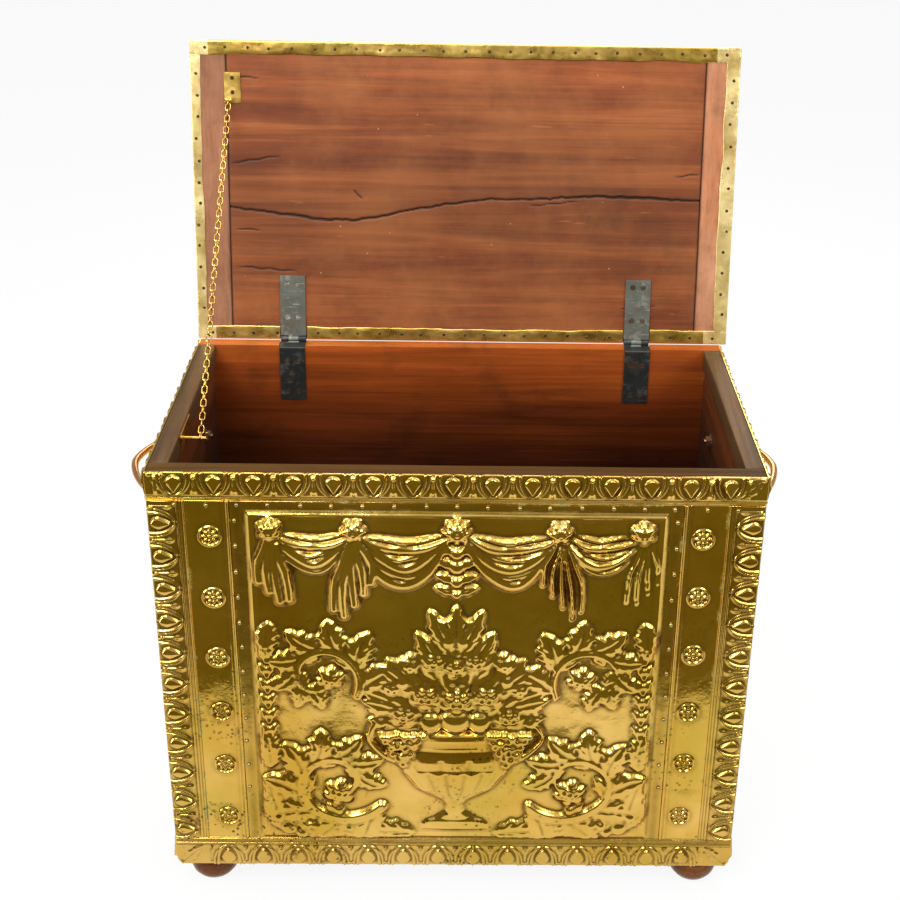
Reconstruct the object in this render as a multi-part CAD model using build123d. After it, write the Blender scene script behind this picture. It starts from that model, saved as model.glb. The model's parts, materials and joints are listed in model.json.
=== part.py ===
"""A kindling box: a brass-clad wooden chest on bun feet, with a hinged lid held open by a stay chain.

Millimetres, +Z up, front towards -Y. The origin is on the floor, under the middle of the
chest's width and of the whole depth with the lid open.
"""
import os
from math import acos, cos, pi, radians, sin

from build123d import *

# Carcass
box_width = 500.0
box_depth = 276.4
box_height = 399.3
lower_corner_radius = 9.0
skin = 0.8
wall_board = 13.0
back_board_thickness = 14.0
floor_board_thickness = 12.0
rail_height = 18.0
side_rail_width = 15.7
front_rail_width = 15.9

# Bun feet, turned in one piece with a tenon that goes into the floor board
foot_height = 31.0
foot_radius = 22.5
foot_neck_radius = 19.0
foot_sole_radius = 10.0
foot_belly_height = 19.0
foot_inset = 28.5
tenon_radius = 5.0
tenon_length = 8.0
tenon_clearance = 0.05

# Pressed brass: bands with an ovolo and beads, strips with rosettes, raised fields
ovolo_rise = 1.6
bead_radius = 0.9
wide_band = 25.9
wide_band_ovolo = 21.8
low_band = 30.7
low_band_ovolo = 23.2
side_band = 30.1
side_band_ovolo = 23.4
rosette_strip = 36.0
rosette_count = 6
rosette_radius = 9.0
rosette_rise = 1.7
rosette_petals = 8
rosette_petal_rise = 1.0
rosette_notch_radius = 7.0
rosette_boss_radii = (3.2, 1.8)
rosette_first = 58.6
rosette_pitch = 57.2
field_margin = 9.0
field_rise = 2.0
field_slope = 3.0

# Tacks that hold the brass
tack_radius = 1.6
tack_rise = 0.8
tack_length = 7.0
tack_row_drop = 3.6
tack_pitch = 25.3
tack_inset = 3.0

# Brass turned onto the back board
turn_in = 12.0
turn_in_drop = 3.0

# Lid
lid_side_overhang = 4.0
lid_depth = 279.3
lid_board = 11.0
lid_skin = 0.6
lid_clearance = 0.3
lid_rear_overhang = 1.5
lid_shift = 2.6
open_angle = 100.4
cleat_width_left = 32.9
cleat_width_right = 31.4
lid_band_left = 9.7
lid_band_right = 12.4
lid_band_free = 13.3
lid_band_hinge = 12.6
nail_radius = 1.3
nail_rise = 0.15
nail_length = 6.0
nail_pitch = 20.0

# Strap hinges
hinge_insets = (89.5, 80.4)
leaf_width = 24.0
leaf_thickness = 1.6
leaf_gap = 0.3
leaf_side_clearance = 0.5
upper_leaf_length = 62.0
lower_leaf_drop = 55.5
axis_behind = 0.9
axis_above = 1.1
crank_radius = 1.4
barrel_radius = 3.0
barrel_clearance = 0.5
pin_radius = 1.45
pin_clearance = 0.05
pin_overhang = 0.3
outer_knuckle = 7.0
knuckle_gap = 0.3
screw_head_radius = 2.9
screw_neck_radius = 1.5
screw_length = 9.0
screw_slot_width = 0.8
screw_slot_depth = 0.6
screw_spread = 10.0
upper_screws = (22.1, 54.7)
lower_screws = (16.0, 47.0)
screw_clearance = 0.05

# Bow handles, bolted through the side walls
handle_height = 334.0
handle_half_span = 60.0
handle_reach = (36.0, 31.0)
handle_tilt = (5.5, 8.7)
handle_rod_radius = 2.7
handle_bow_power = 1.6
handle_hole_clearance = 0.2
rose_hole_clearance = 1.3
rose_radius = 8.0
rose_top_radius = 5.8
rose_thickness = 2.4
washer_radius = 7.0
washer_thickness = 1.0
nut_radius = 5.4
nut_thickness = 4.0
nut_play = 0.1
stud_overhang = 1.5

# Stay chain, with its hook on the side rail and its bracket on the lid
link_wire = 1.3
link_width = 5.8
link_play = 0.1
open_pivot_play = 0.3
link_pitch = 6.2
lower_links = 26
hook_stand_off = 13.5
hook_y = -49.0
hook_drop = 13.7
hook_bar_radius = 1.3
hook_tip_reach = 5.5
hook_tip_rise = 5.0
hook_plate_length = 46.0
hook_plate_height = 15.0
hook_plate_thickness = 1.2
hook_plate_drop = 2.2
hook_screw_offset = 16.5
bracket_from_free_edge = 53.6
bracket_from_hook = 4.0
bracket_stand_off = 5.0
bracket_plate_width = 15.0
bracket_plate_length = 25.0
bracket_plate_shift = 3.2
bracket_plate_thickness = 1.0
bracket_ear_thickness = 1.0
bracket_ear_gap = 3.2
bracket_ear_radius = 2.2
bracket_screws = (6.8, 19.8)
small_screw_radius = 2.0
small_screw_neck = 1.1
small_screw_length = 8.0

# Facets
tack_sides = 6
screw_sides = 8
link_sides = 4
link_bends = 3
foot_sides = 18
foot_rings = 4
rod_sides = 10
bow_steps = 6
bar_sides = 8
boss_sides = 6
hole_sides = 12
barrel_sides = 16

# Derived places
base = foot_height
rim = base + box_height
half_width = box_width / 2
front = -box_depth / 2
rear = box_depth / 2
wood_base = base + skin
wood_half_width = half_width - skin
rail_base = rim - rail_height
front_board_inner = front + skin + wall_board
back_board_inner = rear - back_board_thickness
side_board_inner = wood_half_width - wall_board
side_rail_inner = wood_half_width - side_rail_width
hinge_centres = (hinge_insets[0] - half_width, half_width - hinge_insets[1])
hook_x = hook_stand_off - side_rail_inner
bracket_x = hook_x + bracket_from_hook
front_rail_inner = front + skin + front_rail_width
axis_y = rear + axis_behind
axis_z = rim + axis_above
lid_rear = rear + lid_rear_overhang
lid_front = lid_rear - lid_depth
lid_under = rim + lid_clearance
lid_wood_under = lid_under + lid_skin
lid_wood_top = lid_wood_under + lid_board
lid_top = lid_wood_top + lid_skin
lid_width = box_width + 2 * lid_side_overhang
lid_left = lid_shift - lid_width / 2
lid_right = lid_shift + lid_width / 2
bracket_y = lid_front + bracket_from_free_edge
upper_leaf_under = lid_wood_under - leaf_thickness
lower_leaf_top = upper_leaf_under - leaf_gap
lower_leaf_under = lower_leaf_top - leaf_thickness
knuckle_reach = barrel_radius + barrel_clearance
middle_knuckle = leaf_width - 2 * (outer_knuckle + knuckle_gap)
swing = Pos(0, axis_y, axis_z) * Rot(-open_angle, 0, 0) * Pos(0, -axis_y, -axis_z)


def block(x_span, y_span, z_span):
    """A box from its spans along the three axes."""
    sizes = [high - low for low, high in (x_span, y_span, z_span)]
    middles = [(high + low) / 2 for low, high in (x_span, y_span, z_span)]
    return Pos(*middles) * Box(*sizes)


def polyhedron(points, faces):
    """A solid with flat faces, each a list of indices into points."""
    sides = [Face(Wire.make_polygon([points[i] for i in face], close=True)) for face in faces]
    return Solid(Shell(sides))


def faceted(profile, sides):
    """A turned shape with flat facets, from (radius, z) pairs that run up its outline."""
    points, rings = [], []
    for radius, z in profile:
        count = sides if radius > 0 else 1
        turns = [2 * pi * k / sides for k in range(count)]
        rings.append([len(points) + k for k in range(count)])
        points += [(radius * cos(turn), radius * sin(turn), z) for turn in turns]
    faces = [ring for ring in (rings[0][::-1], rings[-1]) if len(ring) > 1]
    for low, high in zip(rings, rings[1:]):
        for k in range(sides):
            after = (k + 1) % sides
            corners = [low[k % len(low)], low[after % len(low)]]
            corners += [high[after % len(high)], high[k % len(high)]]
            faces.append(list(dict.fromkeys(corners)))
    return polyhedron(points, faces)


def tube_along_x(centre, radius, length, sides=0):
    """A cylinder along X about a centre, or a prism that holds that cylinder."""
    if not sides:
        return Pos(*centre) * Rot(0, 90, 0) * Cylinder(radius, length)
    section = RegularPolygon(radius, sides, major_radius=False)
    return Pos(*centre) * Rot(0, 90, 0) * extrude(section, length / 2, both=True)


def bent_rod(route, radius, sides, normal):
    """A rod with flat facets and mitred bends, along a route that lies in one plane."""
    legs = [(after - before).normalized() for before, after in zip(route, route[1:])]
    points, faces = [], []
    for place, before, after in zip(route, legs[:1] + legs, legs + legs[-1:]):
        lean = (before + after).normalized()
        side = normal.cross(lean)
        stretch = 1 / lean.dot(before)
        for j in range(sides):
            around = 2 * pi * (j + 0.5) / sides
            offset = side * (radius * stretch * cos(around)) + normal * (radius * sin(around))
            points.append(tuple(place + offset))
    for i in range(len(route) - 1):
        for j in range(sides):
            low, after = i * sides, (j + 1) % sides
            faces.append([low + j, low + after, low + sides + after, low + sides + j])
    last = (len(route) - 1) * sides
    faces += [list(range(sides))[::-1], list(range(last, last + sides))]
    return polyhedron(points, faces)


def outline(inset):
    """The front view of the box with its worn lower corners, run through its whole depth."""
    width, height = box_width - 2 * inset, box_height
    view = Rectangle(width, height)
    low_corners = view.vertices().sort_by(Axis.Y)[:2]
    view = fillet(low_corners, lower_corner_radius - inset)
    return Pos(0, 0, base + inset + height / 2) * extrude(Plane.XZ * view, box_depth, both=True)


def dome(first, last, seat, rise):
    """The section of a round moulding that stands on seat from first to last."""
    arc = ThreePointArc((first, seat), ((first + last) / 2, seat + rise), (last, seat))
    return make_face(arc + Line((last, seat), (first, seat)))


def moulding(width, ovolo_width, beads, thickness=skin):
    """The section of a pressed band: a skin, an ovolo from its outer edge, and beads inside it."""
    section = Pos(width / 2, thickness / 2) * Rectangle(width, thickness)
    section += dome(skin, ovolo_width, thickness, ovolo_rise)
    for place in beads:
        section += dome(place - bead_radius, place + bead_radius, thickness, bead_radius)
    return section


def low_band_section():
    """The section of the bottom band, with its two beads."""
    return moulding(low_band, low_band_ovolo, [low_band_ovolo + 2 * bead_radius, low_band - 2 * bead_radius])


def run(section, start, across, outward, length):
    """A section run straight: it lies across and outward from start, and runs square to both."""
    along = Vector(*across).cross(Vector(*outward))
    plane = Plane(origin=start, x_dir=across, z_dir=along)
    return extrude(plane * section, length)


def raised_field(width, height):
    """A raised field with sloping sides, on +Z."""
    foot = Rectangle(width, height)
    top = Pos(0, 0, field_rise) * Rectangle(width - 2 * field_slope, height - 2 * field_slope)
    return loft([foot, top], ruled=True)


def rosette():
    """An eight-petalled rosette on +Z."""
    points = []
    for k in range(2 * rosette_petals):
        radius = rosette_radius if k % 2 == 0 else rosette_notch_radius
        turn = pi * k / rosette_petals
        points.append((radius * cos(turn), radius * sin(turn)))
    petals = extrude(make_face(Polyline(*points, close=True)), rosette_petal_rise)
    low, high = rosette_boss_radii
    return petals + faceted([(low, 0), (high, rosette_rise)], boss_sides)


def carcass():
    """The boards and the rim rails of the chest."""
    wood = outline(skin)
    hole_radius = handle_rod_radius + handle_hole_clearance
    handle_holes = [
        tube_along_x((0, y, base + handle_height), hole_radius, 2 * box_width, hole_sides)
        for y in (-handle_half_span, handle_half_span)
    ]
    wall_z = (wood_base, rail_base)
    rail_z = (rail_base, rim)
    full = (-wood_half_width, wood_half_width)
    nodes = {
        "front_board": block(full, (front + skin, front_board_inner), wall_z) & wood,
        "back_board": block(full, (back_board_inner, rear), wall_z) & wood,
        "front_rim_rail": block(full, (front + skin, front_rail_inner), rail_z),
    }
    back_rail = block(full, (back_board_inner, rear), rail_z)
    notch_half = leaf_width / 2 + leaf_side_clearance
    for centre in hinge_centres:
        back_rail -= block(
            (centre - notch_half, centre + notch_half), (back_board_inner, rear), (lower_leaf_under, rim)
        )
    nodes["back_rim_rail"] = back_rail
    board_y = (front_board_inner, back_board_inner)
    rail_y = (front_rail_inner, back_board_inner)
    for side, name in ((-1, "left"), (1, "right")):
        board_x = sorted((side * side_board_inner, side * wood_half_width))
        rail_x = sorted((side * side_rail_inner, side * wood_half_width))
        nodes[name + "_board"] = (block(board_x, board_y, wall_z) & wood) - handle_holes
        nodes[name + "_rim_rail"] = block(rail_x, rail_y, rail_z)
    floor_z = (wood_base, wood_base + floor_board_thickness)
    floor = block((-side_board_inner, side_board_inner), board_y, floor_z)
    socket = RegularPolygon(tenon_radius + tenon_clearance, hole_sides, major_radius=False)
    for x, y in foot_places():
        floor -= Pos(x, y, wood_base) * extrude(socket, tenon_length)
    nodes["floor_board"] = floor
    return nodes


def foot_places():
    """The centres of the four feet."""
    x, y = half_width - foot_inset, box_depth / 2 - foot_inset
    return [(-x, -y), (x, -y), (-x, y), (x, y)]


def feet():
    """Four turned bun feet, each with its tenon; the belly is two quarter ellipses, cut short."""
    profile = []
    for k in range(-foot_rings, foot_rings + 1):
        end_radius, end_z = (foot_sole_radius, 0) if k < 0 else (foot_neck_radius, wood_base)
        last = acos(end_radius / foot_radius)
        half_height = abs(end_z - foot_belly_height) / sin(last)
        turn = last * k / foot_rings
        profile.append((foot_radius * cos(turn), foot_belly_height + half_height * sin(turn)))
    tenon_top = wood_base + tenon_length - tenon_clearance
    profile += [(tenon_radius, wood_base), (tenon_radius, tenon_top)]
    foot = faceted(profile, foot_sides)
    names = ("foot_front_left", "foot_front_right", "foot_back_left", "foot_back_right")
    return {name: Pos(x, y, 0) * foot for name, (x, y) in zip(names, foot_places())}


def front_brass():
    """The pressed brass of the front: bands all round, two rosette strips and the middle panel."""
    shape = outline(0)
    back_plane = front + skin
    top_section = moulding(wide_band, wide_band_ovolo, [wide_band - 2 * bead_radius])
    low_section = low_band_section()
    side_section = moulding(
        side_band, side_band_ovolo, [side_band_ovolo + 2 * bead_radius, side_band - 2 * bead_radius]
    )
    out = (0, -1, 0)
    low, high = base + low_band, rim - wide_band
    field_height = high - low
    top_left, low_right = (-half_width, back_plane, high), (half_width, back_plane, low)
    bottom = run(low_section, (-half_width, back_plane, base), (0, 0, 1), out, box_width)
    nodes = {
        "front_top_band": run(top_section, (half_width, back_plane, rim), (0, 0, -1), out, box_width),
        "front_bottom_band": bottom & shape,
        "front_left_band": run(side_section, top_left, (1, 0, 0), out, field_height),
        "front_right_band": run(side_section, low_right, (-1, 0, 0), out, field_height),
    }
    strip_section = Pos(rosette_strip / 2, skin / 2) * Rectangle(rosette_strip, skin)
    strip_section += dome(rosette_strip - 2 * bead_radius, rosette_strip, skin, bead_radius)
    outer = half_width - side_band
    left = run(strip_section, (-outer, back_plane, high), (1, 0, 0), out, field_height)
    right = run(strip_section, (outer, back_plane, low), (-1, 0, 0), out, field_height)
    flower = Rot(90, 0, 0) * rosette()
    for k in range(rosette_count):
        z = rim - rosette_first - k * rosette_pitch
        x = outer - rosette_strip / 2 + bead_radius
        left += Pos(-x, front, z) * flower
        right += Pos(x, front, z) * flower
    nodes["front_left_rosette_strip"] = left
    nodes["front_right_rosette_strip"] = right
    inner = outer - rosette_strip
    panel = block((-inner, inner), (front, back_plane), (low, high))
    field = raised_field(2 * (inner - field_margin), field_height - 2 * field_margin)
    panel += Pos(0, front, (low + high) / 2) * Rot(90, 0, 0) * field
    nodes["front_centre_panel"] = panel
    nodes["front_tacks"] = front_tacks(inner, low, high)
    return nodes


def front_tacks(inner, low, high):
    """Tacks along the top of the front and down both sides of the middle panel."""
    tack = Rot(90, 0, 0) * faceted([(0, -tack_length), (tack_radius, 0), (0, tack_rise)], tack_sides)
    places = []
    row_half = half_width - side_band - tack_inset
    row_count = int(2 * row_half / tack_pitch) + 1
    for k in range(row_count):
        places.append(((k - (row_count - 1) / 2) * tack_pitch, high - tack_row_drop))
    column_count = int((high - low - 2 * tack_pitch) / tack_pitch) + 1
    for k in range(column_count):
        z = high - tack_row_drop - (k + 1) * tack_pitch
        places += [(-inner + tack_inset, z), (inner - tack_inset, z)]
    return Compound([Pos(x, front, z) * tack for x, z in places])


def side_brass():
    """The brass of the two ends, wrapped round the lower corner and turned onto the back."""
    nodes = {}
    hollow = outline(skin)
    shell = outline(0)
    turn_tack = Rot(-90, 0, 0) * faceted([(0, -nail_length), (nail_radius, 0), (0, nail_rise)], tack_sides)
    turn_tacks = []
    top_section = moulding(wide_band, wide_band_ovolo, [wide_band - 2 * bead_radius])
    low_section = low_band_section()
    low, high = base + low_band, rim - wide_band
    depth = rear - front - skin
    middle = (rear + front + skin) / 2
    for side, name in ((-1, "left"), (1, "right")):
        x_span = sorted((side * (half_width - lower_corner_radius), side * half_width))
        wrap = block(x_span, (front + skin, rear), (base, rim)) & shell
        sheet = wrap - hollow
        flange_x = sorted((side * (half_width - turn_in), side * half_width))
        sheet += block(flange_x, (rear, rear + skin), (base + lower_corner_radius, rim - turn_in_drop))
        start_y = front + skin if side < 0 else rear
        face = side * wood_half_width
        low_start = rear if side < 0 else front + skin
        sheet += run(top_section, (face, start_y, rim), (0, 0, -1), (side, 0, 0), depth)
        low_run = run(low_section, (face, low_start, base), (0, 0, 1), (side, 0, 0), depth)
        corner_z = (base, base + lower_corner_radius)
        sheet += low_run - block((-half_width, half_width), (front, rear), corner_z)
        field = raised_field(depth - 2 * side_band, high - low - 2 * field_margin)
        turn = Rot(0, 0, 90 * side) * Rot(90, 0, 0)
        sheet += Pos(side * half_width, middle, (low + high) / 2) * turn * field
        for y in (-handle_half_span, handle_half_span):
            place = (side * half_width, y, base + handle_height)
            hole_radius = handle_rod_radius + handle_hole_clearance
            sheet -= tube_along_x(place, hole_radius, 4 * (skin + field_rise), hole_sides)
        nodes[name + "_side_brass"] = sheet
        count = int((rail_base - base - 2 * turn_in) / (2 * nail_pitch))
        for k in range(count):
            z = base + turn_in + (k + 0.5) * 2 * nail_pitch
            turn_tacks.append(Pos(side * (half_width - turn_in / 2), rear + skin, z) * turn_tack)
    nodes["back_edge_tacks"] = Compound(turn_tacks)
    return nodes


def handles():
    """Two bow handles with a rose outside, and a washer and nut inside, at each end."""
    nodes, roses, washers, nuts = {}, [], [], []
    wall_face = half_width + field_rise
    inner_face = side_board_inner
    stud_end = inner_face - washer_thickness - nut_thickness - stud_overhang
    z = base + handle_height
    rose_hole = RegularPolygon(handle_rod_radius + rose_hole_clearance, hole_sides, major_radius=False)
    rose = faceted([(rose_radius, 0), (rose_top_radius, rose_thickness)], hole_sides)
    rose -= extrude(rose_hole, rose_thickness)
    stud_hole = RegularPolygon(handle_rod_radius + nut_play, hole_sides, major_radius=False)
    washer = extrude(RegularPolygon(washer_radius, hole_sides) - stud_hole, washer_thickness)
    nut = extrude(RegularPolygon(nut_radius, 6) - stud_hole, nut_thickness)
    for side, name, reach, tilt in zip((-1, 1), ("left", "right"), handle_reach, handle_tilt):
        lean = Vector(cos(radians(tilt)), 0, sin(radians(tilt)))
        ends = handle_half_span * Vector(0, 1, 0)
        bow = [-ends - lean * skin]
        for k in range(-bow_steps, bow_steps + 1):
            t = sin(pi / 2 * k / bow_steps)
            out = reach * max(0, 1 - abs(t) ** handle_bow_power) ** (1 / handle_bow_power)
            bow.append(ends * t + lean * out)
        bow.append(ends - lean * skin)
        rod = bent_rod(bow, handle_rod_radius, rod_sides, lean.cross(Vector(0, 1, 0)))
        stud_length = wall_face - stud_end
        for y in (-handle_half_span, handle_half_span):
            stud = RegularPolygon(handle_rod_radius, rod_sides)
            rod += Pos(-stud_length, y, 0) * Rot(0, 90, 0) * extrude(stud, stud_length)
        flip = Rot(0, 0, 180) if side < 0 else Rot(0, 0, 0)
        nodes[name + "_handle"] = Pos(side * wall_face, 0, z) * flip * rod
        outward = Rot(0, 90 * side, 0)
        for y in (-handle_half_span, handle_half_span):
            roses.append(Pos(side * wall_face, y, z) * outward * rose)
            washers.append(Pos(side * (inner_face - washer_thickness), y, z) * outward * washer)
            nuts.append(Pos(side * (inner_face - washer_thickness - nut_thickness), y, z) * outward * nut)
    nodes["handle_roses"] = Compound(roses)
    nodes["handle_washers"] = Compound(washers)
    nodes["handle_nuts"] = Compound(nuts)
    return nodes


def lid_block():
    """The outside of the closed lid."""
    return block((lid_left, lid_right), (lid_front, lid_rear), (lid_under, lid_top))


def hinge_room():
    """What the lid gives up to the closed hinges: room for each barrel."""
    half = leaf_width / 2 + leaf_side_clearance
    top = axis_z + barrel_radius + barrel_clearance
    return [
        block((x - half, x + half), (axis_y - knuckle_reach, lid_rear + 1), (lid_under - 1, top))
        for x in hinge_centres
    ]


def lid():
    """The lid's board with its two cleats, the brass that wraps it, and the nails of the turned edge."""
    room = hinge_room()
    wood_y = (lid_front + lid_skin, lid_rear - lid_skin)
    wood_z = (lid_wood_under, lid_wood_top)
    left_joint = lid_left + cleat_width_left
    right_joint = lid_right - cleat_width_right
    nodes = {
        "lid_board": block((left_joint, right_joint), wood_y, wood_z) - room,
        "lid_left_cleat": block((lid_left + lid_skin, left_joint), wood_y, wood_z),
        "lid_right_cleat": block((right_joint, lid_right - lid_skin), wood_y, wood_z),
    }
    window_x = (lid_left + lid_band_left, lid_right - lid_band_right)
    window_y = (lid_front + lid_band_free, lid_rear - lid_band_hinge)
    brass = lid_block() - block((lid_left + lid_skin, lid_right - lid_skin), wood_y, wood_z)
    brass -= block(window_x, window_y, (lid_under, lid_wood_under))
    brass -= room
    half = leaf_width / 2 + leaf_side_clearance
    for x in hinge_centres:
        brass -= block((x - half, x + half), (window_y[1], lid_rear), (lid_under, lid_wood_under))
    brass += lid_border()
    field_width = lid_width - 2 * side_band - 2 * field_margin
    field_depth = lid_depth - 2 * side_band - 2 * field_margin
    middle = ((lid_left + lid_right) / 2, (lid_front + lid_rear) / 2, lid_top)
    brass += Pos(*middle) * raised_field(field_width, field_depth)
    nodes["lid_brass"] = brass
    nodes["lid_nails"] = lid_nails(window_x, window_y)
    return {name: swing * node for name, node in nodes.items()}


def lid_border():
    """The pressed bands on the four sides of the lid's top."""
    beads = [side_band_ovolo + 2 * bead_radius, side_band - 2 * bead_radius]
    band = moulding(side_band, side_band_ovolo, beads, lid_skin)
    up = (0, 0, 1)
    near, far = lid_front + side_band, lid_rear - side_band
    return [
        run(band, (lid_left, lid_front, lid_wood_top), (0, 1, 0), up, lid_width),
        run(band, (lid_right, lid_rear, lid_wood_top), (0, -1, 0), up, lid_width),
        run(band, (lid_left, far, lid_wood_top), (1, 0, 0), up, far - near),
        run(band, (lid_right, near, lid_wood_top), (-1, 0, 0), up, far - near),
    ]


def lid_nails(window_x, window_y):
    """Nails along the turned edge under the lid, clear of the hinges."""
    nail = faceted([(0, -nail_rise), (nail_radius, 0), (0, nail_length)], tack_sides)
    rows_y = ((lid_front + window_y[0]) / 2, (lid_rear + window_y[1]) / 2)
    rows_x = ((lid_left + window_x[0]) / 2, (lid_right + window_x[1]) / 2)
    keep_off = leaf_width / 2 + leaf_side_clearance + 2 * nail_radius
    places = []
    count = int((lid_width - nail_pitch) / nail_pitch)
    for k in range(count):
        x = (lid_left + lid_right) / 2 + (k - (count - 1) / 2) * nail_pitch
        places.append((x, rows_y[0]))
        if all(abs(x - centre) > keep_off for centre in hinge_centres):
            places.append((x, rows_y[1]))
    count = int((lid_depth - 2 * nail_pitch) / nail_pitch)
    for k in range(count):
        y = (lid_front + lid_rear) / 2 + (k - (count - 1) / 2) * nail_pitch
        places += [(x, y) for x in rows_x]
    return Compound([Pos(x, y, lid_under) * nail for x, y in places])


def screw_shape(head_radius, neck_radius, length, extra=0.0):
    """A countersunk screw on +Z with its head's face at z = 0, or the hole that it needs."""
    neck = head_radius - neck_radius
    profile = [(0, -length), (neck_radius + extra, -neck), (head_radius + extra, 0)]
    return faceted(profile, screw_sides)


def slotted_screw(head_radius, neck_radius, length):
    """A countersunk screw with a slot across its head."""
    slot = Pos(0, 0, -screw_slot_depth / 2) * Box(3 * head_radius, screw_slot_width, screw_slot_depth)
    return screw_shape(head_radius, neck_radius, length) - slot


def barrel(centre, length):
    """A knuckle along X, before its bore."""
    section = RegularPolygon(barrel_radius, barrel_sides)
    return Pos(*centre) * Rot(0, 90, 0) * extrude(section, length / 2, both=True)


def hinges():
    """Two cranked strap hinges: leaves with interleaved knuckles, pins and screws."""
    fixed, moving = {}, {}
    screw = slotted_screw(screw_head_radius, screw_neck_radius, screw_length)
    hole = screw_shape(screw_head_radius, screw_neck_radius, screw_length, screw_clearance)
    leaf_end = axis_y - knuckle_reach
    bore = pin_radius + pin_clearance
    lip = back_board_inner - leaf_thickness
    for centre, name in zip(hinge_centres, ("left", "right")):
        x_span = (centre - leaf_width / 2, centre + leaf_width / 2)
        middle_x = (centre - middle_knuckle / 2, centre + middle_knuckle / 2)
        outer_xs = ((x_span[0], x_span[0] + outer_knuckle), (x_span[1] - outer_knuckle, x_span[1]))
        axis = (centre, axis_y, axis_z)
        pin_bore = tube_along_x(axis, bore, 2 * leaf_width)

        upper = block(x_span, (lid_rear - upper_leaf_length, leaf_end), (upper_leaf_under, lid_wood_under))
        upper += block(middle_x, (leaf_end, axis_y), (upper_leaf_under, lid_wood_under))
        upper += barrel(axis, middle_knuckle)
        upper -= pin_bore
        upper_places = [
            Pos(centre + side * screw_spread / 2, lid_rear - along, upper_leaf_under) * Rot(180, 0, 0)
            for along in upper_screws
            for side in (-1, 1)
        ]
        upper -= [place * hole for place in upper_places]
        moving[name + "_hinge_upper_leaf"] = upper
        moving[name + "_hinge_upper_screws"] = Compound([place * screw for place in upper_places])

        lower = block(x_span, (lip, leaf_end), (lower_leaf_under, lower_leaf_top))
        lower += block(x_span, (lip, back_board_inner), (rim - lower_leaf_drop, lower_leaf_top))
        bend = lower.edges().filter_by(Axis.X).sort_by(lambda edge: edge.center().Z - edge.center().Y)[-1]
        lower = fillet(bend, crank_radius)
        for outer_x in outer_xs:
            lower += block(outer_x, (leaf_end, axis_y), (lower_leaf_under, lower_leaf_top))
            knuckle = ((outer_x[0] + outer_x[1]) / 2, axis_y, axis_z)
            lower += barrel(knuckle, outer_knuckle)
        lower -= pin_bore
        lower_places = [
            Pos(centre + side * screw_spread / 2, lip, rim - drop) * Rot(90, 0, 0)
            for drop in lower_screws
            for side in (-1, 1)
        ]
        lower -= [place * hole for place in lower_places]
        fixed[name + "_hinge_lower_leaf"] = lower
        fixed[name + "_hinge_lower_screws"] = Compound([place * screw for place in lower_places])
        fixed[name + "_hinge_pin"] = tube_along_x(axis, pin_radius, leaf_width + 2 * pin_overhang)
    return {**fixed, **{name: swing * node for name, node in moving.items()}}


def chain_ends():
    """The two points that the chain runs between: on the hook's bar and on the bracket's bar."""
    hook = Vector(hook_x, hook_y, rim - hook_drop)
    bracket = Pos(bracket_x, bracket_y, lid_wood_under - bracket_stand_off)
    return hook, (swing * bracket).position


def link_shape(centre_length):
    """One chain link with flat facets, long along Y; centre_length is between its two end bends."""
    bend_radius = (link_width - link_wire) / 2
    straight = centre_length / 2 - bend_radius
    step = pi / link_bends
    stretch = (1 + 1 / cos(step / 2)) / 2
    corners = []
    for end in (1, -1):
        for k in range(link_bends):
            turn = (k + 0.5) * step + (0 if end > 0 else pi)
            corners.append((turn, end * straight))
    points = []
    for turn, middle in corners:
        for j in range(link_sides):
            around = 2 * pi * (j + 0.5) / link_sides
            radius = (bend_radius + link_wire / 2 * cos(around)) * stretch
            height = link_wire / 2 * sin(around)
            points.append((radius * cos(turn), middle + radius * sin(turn), height))
    faces = []
    count = len(corners)
    for i in range(count):
        for j in range(link_sides):
            low, high = i * link_sides, ((i + 1) % count) * link_sides
            after = (j + 1) % link_sides
            faces.append([low + j, high + j, high + after, low + after])
    return polyhedron(points, faces)


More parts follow.
